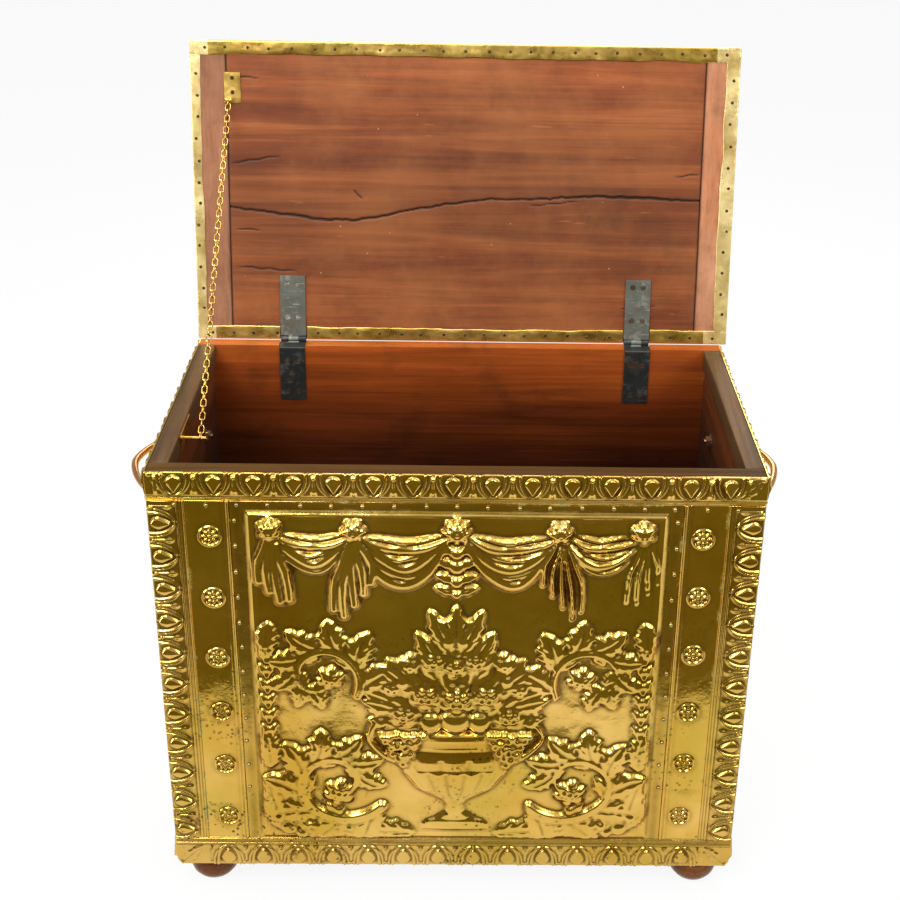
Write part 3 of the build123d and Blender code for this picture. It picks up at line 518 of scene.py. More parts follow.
def stroke(H, X, Z, points, radii, heights, groove=0.0):
    """Raises a rounded stem, fold or ribbon along a run of points."""
    def cells_between(low, high, lines):
        start, cell = lines[0], lines[1] - lines[0]
        return slice(max(0, int((low - start) / cell)), max(0, int((high - start) / cell) + 2))

    count = len(points)
    shares = np.linspace(0, 1, count)
    wide = np.interp(shares, np.linspace(0, 1, len(radii)), radii)
    tall = np.interp(shares, np.linspace(0, 1, len(heights)), heights)
    best = np.full(H.shape, 1e9)
    value = np.zeros(H.shape)
    for i in range(count - 1):
        (ax, az), (bx, bz) = points[i], points[i + 1]
        reach = max(wide[i], wide[i + 1]) + 1.0
        cols = cells_between(min(ax, bx) - reach, max(ax, bx) + reach, X[0])
        rows = cells_between(min(az, bz) - reach, max(az, bz) + reach, Z[:, 0])
        if not X[rows, cols].size:
            continue
        dx, dz = bx - ax, bz - az
        along = np.clip(((X[rows, cols] - ax) * dx + (Z[rows, cols] - az) * dz) / (dx * dx + dz * dz + 1e-9),
                        0, 1)
        radius = wide[i] + (wide[i + 1] - wide[i]) * along
        q = np.hypot(X[rows, cols] - ax - dx * along, Z[rows, cols] - az - dz * along) / radius
        height = tall[i] + (tall[i + 1] - tall[i]) * along
        shape = height * (np.sqrt(np.clip(1 - q**2, 0, 1)) - groove * np.exp(-((q / 0.3) ** 2)))
        near = q < best[rows, cols]
        value[rows, cols] = np.where(near & (q < 1), shape, value[rows, cols])
        best[rows, cols] = np.minimum(q, best[rows, cols])
    return np.where(best < 1, np.maximum(H, value), H)


# The front

def rounded_front(U, V):
    """Where the front sheet is, with its worn lower corners; U from the middle, V from the base."""
    dx = np.clip(np.abs(U) - (HALF - CORNER), 0, None)
    dz = np.clip(CORNER - V, 0, None)
    return dx**2 + dz**2 <= (CORNER + 0.01) ** 2


TOP_BAND, LOW_BAND, SIDE_BAND, STRIP = 25.9, 30.7, 30.1, 36.0
FIELD = HALF - SIDE_BAND - STRIP
front_place = place_on((0, FRONT, BASE), (1, 0, 0), (0, 0, 1))


def sheet_waves(X, Z, size=1.0):
    """The slow unevenness of thin old sheet."""
    a = np.sin(X / 31.0 + 1.3 * np.sin(Z / 47.0)) * np.sin(Z / 39.0 + 0.9 * np.sin(X / 53.0 + 1.0))
    b = np.sin(X / 13.0 + 2.0 + 1.1 * np.sin(Z / 21.0)) * np.sin(Z / 17.0 + 1.2 * np.sin(X / 23.0))
    c = np.sin(X / 6.1 + 1.7 * np.sin(Z / 9.3)) * np.sin(Z / 7.4 + 0.6 + 1.4 * np.sin(X / 11.7))
    return size * (0.30 * a + 0.12 * b + 0.035 * c)


def corner_leaf(H, X, Z, centre, angle):
    """The diagonal leaf where two bands meet."""
    H = leaf(H, X, Z, centre, angle, 26, 6.5, 2.4, 0, 3)
    for side in (-1, 1):
        H = leaf(H, X, Z, centre, angle + side * 0.62, 17, 3.6, 1.7, -0.2 * side, 2)
    return ball(H, X, Z, centre, 2.6, 2.6)


def top_band_piece():
    us, vs = steps(-HALF, HALF, 0.7), steps(HEIGHT - TOP_BAND, HEIGHT, 0.6)
    X, Z = np.meshgrid(us, vs)
    t = HEIGHT - Z
    width, pitch, first_egg, last_egg = 21.0, 31.9, -226.8, 219.8
    H = band_profile(t, 22.0, TOP_BAND, [(23.3, 0.9, 1.1)])
    H = H + egg_band(X, t - 0.6, width, pitch, first_egg + pitch, 200.0)
    for side, egg in ((-1, first_egg), (1, last_egg)):
        H = corner_leaf(H, X, Z, (side * 246.0, HEIGHT - 2.0), math.atan2(-1, -side))
        H = H + egg_band(X, t - 0.6, width, pitch, egg, egg)
    seam = ridge(t - TOP_BAND, 1.2, 1.0)
    relief("front_top_band_relief", us, vs, H + sheet_waves(X, Z, 0.3), front_place, SKIN, front_brass, "box",
           ["front_top_band"], seam=seam)


def low_band_piece():
    us, vs = steps(-HALF, HALF, 0.7), steps(0, LOW_BAND, 0.6)
    X, Z = np.meshgrid(us, vs)
    H = band_profile(Z, 23.2, LOW_BAND, [(24.0, 0.8, 1.2), (28.9, 0.9, 1.3)])
    first_egg, pitch = -234.8, 31.45
    H = H + egg_band(X, Z - 0.6, 22.4, pitch, first_egg + pitch, 205.0)
    for side in (-1, 1):
        H = corner_leaf(H, X, Z, (side * 245.0, 3.0), math.atan2(1, -side))
    seam = np.maximum(ridge(Z - LOW_BAND, 1.2, 1.0), 0.5 * ridge(Z, 1.5, 1.0))
    relief("front_bottom_band_relief", us, vs, H + sheet_waves(X, Z, 0.3), front_place, SKIN, front_brass,
           "box",
           ["front_bottom_band"], rounded_front, seam, 1.9, 0.20)


def upright_grid(side, inner, outer):
    """The grid of an upright strip of the front, on one side of the middle."""
    us, vs = steps(inner, outer, 0.6), steps(LOW_BAND, HEIGHT - TOP_BAND, 0.7)
    if side < 0:
        us = -us[::-1]
    return us, vs, *np.meshgrid(us, vs)


def side_band_piece(side, name):
    us, vs, X, Z = upright_grid(side, HALF - SIDE_BAND, HALF)
    t = HALF - side * X
    H = band_profile(t, 22.6, SIDE_BAND, [(23.9, 0.8, 1.1), (26.6, 0.7, 0.9), (29.3, 0.7, 1.0)])
    H = H + egg_band(Z, t - 0.6, 22.0, 31.2, 41.0, 353.0)
    seam = ridge(t - SIDE_BAND, 1.2, 1.0)
    relief(f"front_{name}_band_relief", us, vs, H + sheet_waves(X, Z, 0.4), front_place, SKIN, front_brass,
           "box",
           [f"front_{name}_band"], seam=seam, hollow_gain=1.8, extra_hollow=0.08)


ROSETTES = {-1: (340.7, 282.4, 223.3, 167.4, 111.3, 54.5), 1: (342.0, 286.4, 229.3, 169.9, 115.3, 56.9)}


def rosette(H, X, Z, centre):
    """A raised ring with eight lens-shaped petals and a boss."""
    dx, dz = X - centre[0], Z - centre[1]
    r, angle = np.hypot(dx, dz), np.arctan2(dz, dx)
    H = H + ridge(r - 8.6, 0.9, 1.5) - 0.7 * ridge(r - 6.6, 1.2, 1.0)
    phase = np.mod(angle + np.pi / 8, np.pi / 4) - np.pi / 8
    across, along = r * np.sin(phase), r * np.cos(phase)
    petal = 1.5 * np.sqrt(np.clip(1 - ((along - 5.0) / 2.7) ** 2 - (across / 1.5) ** 2, 0, 1))
    boss = 1.6 * np.sqrt(np.clip(1 - (r / 2.0) ** 2, 0, 1))
    return H + np.maximum(petal, boss)


def strip_piece(side, name):
    us, vs, X, Z = upright_grid(side, FIELD, FIELD + STRIP)
    t = side * X - FIELD
    H = ridge(t - 1.6, 1.0, 1.5) + ridge(t - 4.6, 0.8, 0.4) + sheet_waves(X, Z, 0.35)
    for z in ROSETTES[side]:
        H = rosette(H, X, Z, (side * 201.0, z))
    dent_z = 66 if side < 0 else 84
    H = H - 0.8 * np.exp(-(((Z - dent_z) / 5.0) ** 2)) * ridge(t - 22, 14.0, 1.0)
    seam = np.maximum(ridge(t, 1.0, 0.8), ridge(t - STRIP, 1.2, 0.8))
    relief(f"front_{name}_rosette_relief", us, vs, H, front_place, SKIN, front_brass, "box",
           [f"front_{name}_rosette_strip"], seam=seam)


def urn(H, X, Z, base):
    """A footed urn with flutes, a beaded band and a wide lip."""
    z = Z - base
    levels = [0, 5, 9, 12, 20, 27, 33, 45, 62, 78, 84, 88, 92, 98, 103, 106]
    widths = [31, 31, 27, 20, 9, 7.5, 13, 34, 46, 48, 44, 39, 40, 50, 53, 50]
    w = np.interp(z, levels, widths)
    q = np.abs(X) / w
    swell = np.interp(z, levels, [3.0, 3.4, 3.2, 3.0, 2.4, 2.4, 3.4, 5.6, 7.0, 6.8, 6.0, 5.0, 5.2, 6.0, 6.4,
                                  5.4])
    shape = swell * np.sqrt(np.clip(1 - q**2.4, 0, 1))
    turn = np.arcsin(np.clip(X / w, -1, 1))
    flutes = 1.3 * np.abs(np.cos(turn * 9)) * ((z > 33) & (z < 66)) * np.clip((z - 33) / 8, 0, 1)
    leaves = 0.9 * np.abs(np.cos(turn * 6)) * ((z > 66) & (z < 80))
    rings = sum(ridge(z - level, 0.9, 0.8) for level in (9.5, 28.0, 66.5, 81.0, 90.0, 99.5))
    shape = shape + (flutes + leaves + rings) * np.clip(1.3 - q, 0, 1)
    return np.where((z > 0) & (z < 106) & (q < 1), np.maximum(H, shape), H)


def curl(centre, start, end, r0, r1, count=70):
    """A spiral run of points about a centre."""
    turns = np.linspace(start, end, count)
    radii = r0 * (r1 / r0) ** np.linspace(0, 1, count)
    return np.stack([centre[0] + radii * np.cos(turns), centre[1] + radii * np.sin(turns)], axis=1)


def festoon(H, X, Z, start, end, sag, folds, thick, tall):
    """A swag of cloth: folds that hang one below another between two pins."""
    for k in range(folds, -1, -1):
        drop = sag * (0.16 + 0.84 * k / folds)
        path = []
        for t in np.linspace(0, 1, 80):
            spread = math.sin(math.pi * t) ** 0.8
            path.append((start[0] + (end[0] - start[0]) * t + 1.5 * math.sin(7 * t + k),
                         start[1] + (end[1] - start[1]) * t - drop * spread + 0.8 * math.sin(11 * t + 2 * k)))
        wide = thick * (0.85 + 0.3 * (k % 2))
        H = stroke(H, X, Z, path, [thick * 0.35, wide * 0.8, wide, wide * 0.8, thick * 0.35],
                   [tall * 0.7, tall * (0.85 + 0.15 * (k % 2)), tall, tall * 0.8, tall * 0.7])
    return H


def fall(H, X, Z, top, length, folds, thick, tall, lean):
    """A tail of cloth that hangs in upright folds from a pin."""
    for k in range(folds):
        offset = (k - (folds - 1) / 2) * thick * 1.15
        reach = length * (1 - 0.13 * abs(k - (folds - 1) * (0.2 if lean < 0 else 0.8)))
        path = [(top[0] + offset * min(1, 0.15 + 1.4 * t) + 1.4 * math.sin(5 * t + k) + lean * 8 * t,
                 top[1] - reach * t)
                for t in np.linspace(0, 1, 60)]
        H = stroke(H, X, Z, path, [thick * 0.35, thick * 0.62, thick * 0.72, thick * 0.66],
                   [tall, tall, tall * (0.8 + 0.2 * (k % 2)), tall * 0.75])
    return H


def acanthus_scroll(H, X, Z, side, centre, turns, radii, thick, tall, size, count):
    """A spiral stem with broad leaves on its outer side and a flower at its eye."""
    points = curl(centre, turns[0], turns[1], radii[0], radii[1], 120)
    way = 1 if turns[1] > turns[0] else -1
    points[:, 0] *= side
    for k in range(count):
        share = 0.02 + 0.80 * k / count
        i = int(share * (len(points) - 2))
        step = points[i + 1] - points[i]
        angle = math.atan2(step[1], step[0])
        grown = size * (1 - 0.5 * share)
        H = leaf(H, X, Z, tuple(points[i]), angle - side * way * 0.75, grown, grown * 0.34, tall * 1.05,
                 0.34 * side * way, 4)
        if k % 2:
            H = leaf(H, X, Z, tuple(points[i]), angle + side * way * 0.7, grown * 0.55, grown * 0.17,
                     tall * 0.8,
                     -0.3 * side * way, 3)
    H = stroke(H, X, Z, points, [thick, thick * 0.85, thick * 0.5], [tall * 1.2, tall * 1.15, tall], 0.22)
    return flower(H, X, Z, tuple(points[-1]), thick * 2.6, tall * 1.5, 6, 0.3)


def panel_design(X, Z):
    """A footed urn of flowers and fruit between leafy scrolls, under swags of cloth."""
    H = np.zeros_like(X)
    warp = np.random.default_rng(11)
    for side in (-1, 1):
        def at(x, z):
            return (side * x + warp.uniform(-1.5, 1.5), z + warp.uniform(-1.5, 1.5))

        def toward(angle):
            return angle if side > 0 else math.pi - angle

        # Scrolls beside the urn and above it, and a spray in the lower corner
        H = acanthus_scroll(H, X, Z, side, (103, 98), (-2.5, 4.6), (48, 13), 6.0, 4.6, 50, 9)
        H = acanthus_scroll(H, X, Z, side, (116, 208), (3.7, -2.9), (38, 10), 5.2, 4.2, 42, 8)
        for x, z, angle, size in ((34, 40, 0.05, 52), (74, 38, 0.25, 40), (150, 44, 1.9, 44),
                                  (152, 44, 1.35, 56),
                                  (150, 46, 0.85, 34), (128, 38, 2.7, 36), (112, 37, 0.5, 36),
                                  (160, 110, 1.5, 44),
                                  (157, 262, -1.5, 40)):
            H = leaf(H, X, Z, at(x, z), toward(angle), size, size * 0.24, 4.2, 0.16 * side, 5)
        for x, z, radius in ((148, 46, 8.5), (137, 41, 6.5), (156, 58, 6.0), (130, 50, 5.0)):
            H = ball(H, X, Z, at(x, z), radius, 5.6)
        # Husks that run up the edge
        for k in range(8):
            z = 130 + 15.5 * k
            H = leaf(H, X, Z, (side * 160, z), toward(1.1), 15, 4.4, 3.4, 0.2 * side, 3)
            H = leaf(H, X, Z, (side * 160, z), toward(2.04), 15, 4.4, 3.4, -0.2 * side, 3)
            H = ball(H, X, Z, (side * 160, z), 3.0, 4.2)
        # Cloth hung in swags, with its tails
        H = festoon(H, X, Z, (side * 4, 350), (side * 84, 350), 50, 5, 6.2, 5.6)
        H = festoon(H, X, Z, (side * 84, 350), (side * 152, 350), 38, 4, 5.6, 5.2)
        H = fall(H, X, Z, (side * 84, 350), 84, 5, 6.4, 6.2, side * 0.2)
        H = fall(H, X, Z, (side * 152, 352), 74, 4, 6.4, 5.6, side * -0.2)
        for x in (84, 152):
            H = flower(H, X, Z, (side * x, 349), 11.5, 8.0, 6, 0.3 * x)
        # Handles of the urn
        grip = spline([at(43, 118), at(62, 128), at(74, 146), at(63, 162), at(47, 154), at(52, 143)], 90)
        H = stroke(H, X, Z, grip, [4.2, 3.6, 2.4], [6.0, 5.4, 4.4], 0.15)
        # Leaves, fruit and flowers that fan out of the urn
        for x, z, angle, size, tall in (
            (20, 158, 0.10, 58, 4.4), (20, 162, 0.50, 66, 4.8), (14, 170, 0.90, 72, 4.8),
            (8, 176, 1.25, 78, 4.6),
            (34, 160, -0.30, 42, 4.2), (26, 184, 0.72, 52, 5.2), (10, 206, 1.10, 52, 5.2),
            (38, 172, 0.28, 44, 5.2),
        ):
            H = leaf(H, X, Z, at(x, z), toward(angle), size, size * 0.24, tall, 0.14 * side, 5)
        for row in range(6):
            for column in range(6 - row):
                x = 46 + (column - (5 - row) / 2) * 7.0
                H = ball(H, X, Z, at(x, 150 - row * 6.4), 4.6, 4.4 + 0.4 * (6 - row), 2.6)
        for x, z, radius, tall, petals in ((45, 170, 17, 7.4, 5), (26, 192, 19, 8.2, 6),
                                           (55, 196, 13, 6.2, 5),
                                           (17, 226, 16, 7.2, 5), (40, 222, 12, 6.0, 5),
                                           (66, 176, 10, 5.4, 5)):
            H = flower(H, X, Z, at(x, z), radius, tall, petals, warp.uniform(0, 1))
        for x, z, radius, tall in ((22, 163, 11, 8.0), (64, 163, 7, 6.0), (7, 246, 7, 6.0),
                                   (44, 205, 7, 6.4)):
            H = ball(H, X, Z, at(x, z), radius, tall, 0, 1.08)
    H = urn(H, X, Z, 45.0)
    H = ball(H, X, Z, (0, 164), 14.0, 8.8, 0, 0.95)
    H = flower(H, X, Z, (1, 188), 21.0, 9.0, 7, 0.2)
    H = flower(H, X, Z, (-1, 220), 14.0, 7.6, 5, 0.7)
    for angle in (1.15, 1.57, 1.99):
        H = leaf(H, X, Z, (0, 224), angle, 56, 11.0, 5.2, 0.0, 5)
    # Pendant of fruit under the middle pin
    for z, radius in ((330, 7.0), (317, 8.0), (303, 7.0), (291, 5.5)):
        H = leaf(H, X, Z, (0, z), 0.3, 20, 5.5, 4.6, 0.1, 3)
        H = leaf(H, X, Z, (0, z), math.pi - 0.3, 20, 5.5, 4.6, -0.1, 3)
        H = ball(H, X, Z, (0, z), radius, 7.0)
    return flower(H, X, Z, (0, 349), 13.0, 8.4, 8, 0.0)


def panel_piece():
    us, vs = steps(-FIELD, FIELD, 0.8), steps(LOW_BAND, HEIGHT - TOP_BAND, 0.8)
    X, Z = np.meshgrid(us, vs)
    cell = us[1] - us[0]
    top = HEIGHT - TOP_BAND
    edge = np.minimum(172.5 - np.abs(X), np.minimum(Z - LOW_BAND - 1.0, 366.0 - Z))
    ground = 2.2 * np.clip(edge / 4.0, 0, 1)
    frame_lines = ridge(edge - 4.2, 0.8, 0.55) + ridge(edge - 7.4, 0.7, 0.4)
    design = panel_design(X + 1.2 * smooth_noise(X.shape, 60 / cell, 3),
                          Z + 1.2 * smooth_noise(X.shape, 60 / cell, 4))
    design = blur(design, 0.45 / cell) if COARSE == 1.0 else design
    hammer = smooth_noise(X.shape, 9 / cell, 8) * 0.22 + smooth_noise(X.shape, 24 / cell, 9) * 0.6
    bruises = -0.9 * np.clip(smooth_noise(X.shape, 16 / cell, 21) - 0.55, 0, 1) * 2
    quiet = np.clip(edge / 10, 0, 1)
    pull = blur(design, 9 / cell) * 0.35
    H = ground + frame_lines + design * np.clip(edge / 6, 0, 1) + (hammer + bruises + pull) * quiet
    H = H + sheet_waves(X, Z, 1.2)
    seam = np.maximum(ridge(FIELD - np.abs(X), 1.3, 0.8), ridge(edge, 1.0, 0.35))
    seam = np.maximum(seam, ridge(top - Z, 1.3, 1.0))
    channel = 0.75 * np.exp(-(((np.abs(X) - 178) / 4.5) ** 2)) * (0.6 + 0.4 * smooth_noise(X.shape,
                                                                                           20 / cell, 71))
    channel = np.maximum(channel, 0.35 * np.exp(-(((Z - 369) / 2.5) ** 2)))
    relief("front_panel_relief", us, vs, H, front_place, SKIN, front_brass, "box", ["front_centre_panel"],
           seam=seam, hollow_gain=1.4, extra_hollow=channel)


top_band_piece()
low_band_piece()
for side, name in SIDES:
    side_band_piece(side, name)
    strip_piece(side, name)
panel_piece()


# Round pieces

def lathe(bm, profile, matrix, sides=32):
    """A turned shape from (radius, height) pairs, added to a bmesh."""
    rings = []
    for radius, z in profile:
        if radius < 1e-6:
            rings.append([bm.verts.new(matrix @ Vector((0, 0, z)))])
            continue
        ring = []
        for k in range(sides):
            turn = 2 * math.pi * k / sides
            ring.append(bm.verts.new(matrix @ Vector((radius * math.cos(turn), radius * math.sin(turn), z))))
        rings.append(ring)
    for low, high in zip(rings, rings[1:]):
        for k in range(sides):
            after = (k + 1) % sides
            corners = [low[k % len(low)], low[after % len(low)], high[after % len(high)], high[k % len(high)]]
            unique = list(dict.fromkeys(corners))
            if len(unique) > 2:
                bm.faces.new(unique)


def bmesh_piece(name, bm, material, body, replaced=()):
    """Turns a bmesh into a named piece."""
    bmesh.ops.recalc_face_normals(bm, faces=bm.faces)
    mesh = bpy.data.meshes.new(name)
    bm.to_mesh(mesh)
    bm.free()
    finish_mesh(name, mesh, material, body, replaced)


def aim(point, direction, swung=False):
    """The move that stands a turned piece on a point, along a direction, from mm to the row frame."""
    turn = Vector((0, 0, 1)).rotation_difference(Vector(direction)).to_matrix().to_4x4()
    matrix = TO_ROW @ Matrix.Translation(point) @ turn
    return SWING @ matrix if swung else matrix


TACK = [(0.0, -3.0), (0.9, -2.5), (1.0, -0.2), (1.75, 0.0), (1.7, 0.45), (1.25, 0.9), (0.6, 1.12), (0.0, 1.2)]
NAIL = [(0.0, -3.0), (0.6, -2.5), (0.6, -0.3), (1.55, -0.1), (1.5, 0.06), (0.9, 0.16), (0.0, 0.19)]


def tacks():
    """Studs along the top of the front and down both sides of its panel."""
    bm = bmesh.new()
    top_row, top_start, top_end, top_pitch, side_pitch = 369.6, -227.8, 229, 25.3, 24.4
    places = [(x, top_row) for x in np.arange(top_start, top_end, top_pitch)]
    for k in range(12):
        places += [(-180.6, 356.0 - side_pitch * k), (179.6, 357.0 - side_pitch * k)]
    for x, z in places:
        x, z = x + rng.uniform(-0.8, 0.8), z + rng.uniform(-0.5, 0.5)
        lathe(bm, TACK, aim((x, FRONT - 0.9, BASE + z), (0, -1, 0)), 12)
    bmesh_piece("front_tack_studs", bm, tack_brass, "box", ["front_tacks"])


def bun_feet():
    """Turned bun feet with a small collar."""
    profile = [(0.0, 0.0), (9.5, 0.0), (12.0, 0.8), (17.0, 4.0), (20.6, 9.0), (22.2, 14.5), (22.5, 19.0),
               (21.9, 23.0), (20.8, 26.0), (20.2, 27.0), (20.6, 28.0), (20.6, 29.5), (19.6, 30.6),
               (19.0, 31.8),
               (5.0, 31.8), (5.0, 39.7), (0.0, 39.7)]
    fine = []
    for (r0, z0), (r1, z1) in zip(profile, profile[1:]):
        fine += [(r0 + (r1 - r0) * t, z0 + (z1 - z0) * t) for t in (0, 0.5)]
    fine.append(profile[-1])
    inset = 28.5
    for sx, sy, name in ((-1, -1, "front_left"), (1, -1, "front_right"), (-1, 1, "back_left"),
                         (1, 1, "back_right")):
        bm = bmesh.new()
        place = (sx * (HALF - inset), sy * (REAR - inset), 0)
        lathe(bm, fine, aim(place, (0, 0, 1)), 56)
        bmesh_piece(f"bun_foot_{name}", bm, foot_wood, "box", [f"foot_{name}"])


tacks()
bun_feet()


def tube(bm, points, radius, matrix, normal, sides, closed=False):
    """A round bar along points in a plane square to normal, capped unless it closes on itself."""
    points = [Vector(p) for p in points]
    count = len(points)
    rings = []
    for i, point in enumerate(points):
        before = points[i - 1] if (i or closed) else point
        after = points[(i + 1) % count] if (i < count - 1 or closed) else point
        lean = (after - before).normalized()
        side = normal.cross(lean).normalized()
        top = lean.cross(side).normalized()
        reach = radius[i] if hasattr(radius, "__len__") else radius
        ring = []
        for k in range(sides):
            turn = 2 * math.pi * k / sides
            offset = side * (reach * math.cos(turn)) + top * (reach * math.sin(turn))
            ring.append(bm.verts.new(matrix @ (point + offset)))
        rings.append(ring)
    pairs = list(zip(rings, rings[1:])) + ([(rings[-1], rings[0])] if closed else [])
    for low, high in pairs:
        for k in range(sides):
            after = (k + 1) % sides
            bm.faces.new([low[k], low[after], high[after], high[k]])
    if not closed:
        bm.faces.new(rings[0][::-1])
        bm.faces.new(rings[-1])


def bow_handles():
    """Bow handles with a rose at each foot, and washers inside."""
    height, span, rod, power, wall_inside = BASE + 334.0, 60.0, 2.7, 1.6, 236.2
    roses = bmesh.new()
    washers = bmesh.new()
    for side, name, reach, tilt in ((-1, "left", 36.0, 5.5), (1, "right", 31.0, 8.7)):
        bm = bmesh.new()
        lean = Vector((side * math.cos(math.radians(tilt)), 0, math.sin(math.radians(tilt))))
        wall = Vector((side * (HALF + 2.0), 0, height))
        inner = side * (wall_inside - 6.5)
        points, radii = [Vector((inner, -span, height)), wall + Vector((0, -span, 0))], [rod, rod]
        for k in range(-24, 25):
            t = math.sin(k * math.pi / 48)
            out = reach * max(0.0, 1 - abs(t) ** power) ** (1 / power)
            points.append(wall + Vector((0, span * t, 0)) + lean * (out + 1.0))
            radii.append(rod * (0.86 + 0.34 * (1 - abs(t)) ** 0.7))
        points += [wall + Vector((0, span, 0)), Vector((inner, span, height))]
        radii += [rod, rod]
        normal = lean.cross(Vector((0, 1, 0))).normalized()
        tube(bm, points, radii, TO_ROW, normal, 18)
        bmesh_piece(f"{name}_bow_handle", bm, copper, "box", [f"{name}_handle"])
        for y in (-span, span):
            lathe(roses, [(3.0, 0), (8.4, 0), (8.6, 0.7), (7.6, 1.4), (6.6, 1.5), (5.6, 2.5), (4.2, 3.0),
                          (3.0, 3.1)],
                  aim((side * (HALF + 1.2), y, height), (side, 0, 0)), 32)
            inside = aim((side * wall_inside, y, height), (-side, 0, 0))
            lathe(washers, [(2.9, 0), (7.0, 0), (6.9, 0.9), (2.9, 1.0)], inside, 28)
    bmesh_piece("handle_rose_plates", roses, plain_brass, "box", ["handle_roses"])
    bmesh_piece("handle_washer_rings", washers, rusty_steel, "box", ["handle_washers"])


bow_handles()


# Wood of the rim and the lid

def plank(name, low, high, material, replaced, round_edge=1.2, waver=0.35, seed=0):
    """A worn plank: a fine box with softened edges and slightly uneven faces."""
    bm = bmesh.new()
    low, high = Vector(low), Vector(high)
    size = high - low
    counts = [max(2, min(90, int(size[a] / 6))) for a in range(3)]
    for axis in range(3):
        b, c = (axis + 1) % 3, (axis + 2) % 3
        for end in (0, 1):
            grid = []
            for j in range(counts[c] + 1):
                row = []
                for i in range(counts[b] + 1):
                    p = Vector((0, 0, 0))
                    p[axis], p[b], p[c] = end, i / counts[b], j / counts[c]
                    row.append(bm.verts.new(Vector([low[a] + p[a] * size[a] for a in range(3)])))
                grid.append(row)
            for j in range(counts[c]):
                for i in range(counts[b]):
                    face = [grid[j][i], grid[j][i + 1], grid[j + 1][i + 1], grid[j + 1][i]]
                    bm.faces.new(face if end else face[::-1])
    bmesh.ops.remove_doubles(bm, verts=bm.verts, dist=0.01)
    hard = [e for e in bm.edges if e.calc_face_angle(0) > 1.0]
    bmesh.ops.bevel(bm, geom=hard, offset=round_edge, segments=2, profile=0.6, affect="EDGES")
    for v in bm.verts:
        p = v.co
        wave = [math.sin(p.x / 17 + seed) + math.sin(p.y / 13 + p.z / 9 + 2 * seed),
                math.sin(p.x / 23 + 1 + seed) + math.sin(p.z / 11 + seed),
                math.sin(p.x / 19 + p.y / 15 + 3 * seed)]
        for a in range(3):
            inward = 1 if p[a] < (low[a] + high[a]) / 2 else -1
            v.co[a] += inward * waver * 0.25 * (wave[a] + 2) * 0.5
    bm.transform(TO_ROW)
    bmesh_piece(name, bm, material, "box", replaced)


rail_low, rail_outside, side_rail_inside = RIM - 18.0, 249.2, 233.5
front_rail_face, front_rail_inside, back_rail_inside = -137.4, -121.5, 124.2
plank("front_rim_cap", (-rail_outside, front_rail_face, rail_low), (rail_outside, front_rail_inside, RIM),
      rail_wood, ["front_rim_rail"], seed=1)
for side, name in SIDES:
    near, far = sorted((side * rail_outside, side * side_rail_inside))
    plank(f"{name}_rim_cap", (near, front_rail_inside, rail_low), (far, back_rail_inside, RIM),
          side_rail_wood, [f"{name}_rim_rail"], seed=2 + side)


def lid_cracks(U, V):
    """How deep the lid's cracks cut at each point, in mm, U across and V from the hinge edge."""
    main = [(-219.7, 126.6), (-173.9, 120.7), (-136.3, 115.5), (-105.2, 114.1), (-60.9, 124.1),
            (-13.8, 131.4),
            (33.2, 137.7), (108.7, 140.6), (165.4, 139.5), (222.2, 138.4)]
    xs, ys = zip(*main)
    values = np.random.default_rng(77)
    jag = 0.0
    for pitch, size in ((3.7, 0.30), (11.0, 0.55), (29.0, 0.8)):
        knots = np.arange(-260, 261, pitch)
        jag = jag + size * np.interp(U, knots, values.standard_normal(len(knots)))
    line = np.interp(U, xs, ys) + jag
    wide = np.interp(U, [-220, -150, -60, 60, 170, 222], [0.6, 1.0, 0.75, 0.6, 1.1, 0.6])
    board = (U > -221) & (U < 223)
    deep = 3.2 * np.exp(-(((V - line) / wide) ** 2)) * board
    deep = deep + 0.35 * (V > line) * np.exp(-np.clip(V - line, 0, None) / 14) * board
    for x0, y0, x1, y1, size in ((-219, 167, -172, 175, 0.6), (-215, 106, -193, 105, 0.5),
                                 (-215, 70, -158, 66, 0.6),
                                 (150, 33, 186, 37, 0.5), (-219, 247, -190, 246, 0.5),
                                 (-105, 144, -96, 136, 0.8),
                                 (196, 160, 221, 163, 0.5), (60, 131, 108, 136, 0.4)):
        share = np.clip((U - x0) / (x1 - x0), 0, 1)
        line = y0 + (y1 - y0) * share + 0.5 * np.sin(U / 3.0)
        inside = np.clip(1 - np.abs(2 * share - 1) ** 4, 0, 1)
        deep = np.maximum(deep, 2.0 * inside * np.exp(-(((V - line) / size) ** 2)))
    return deep


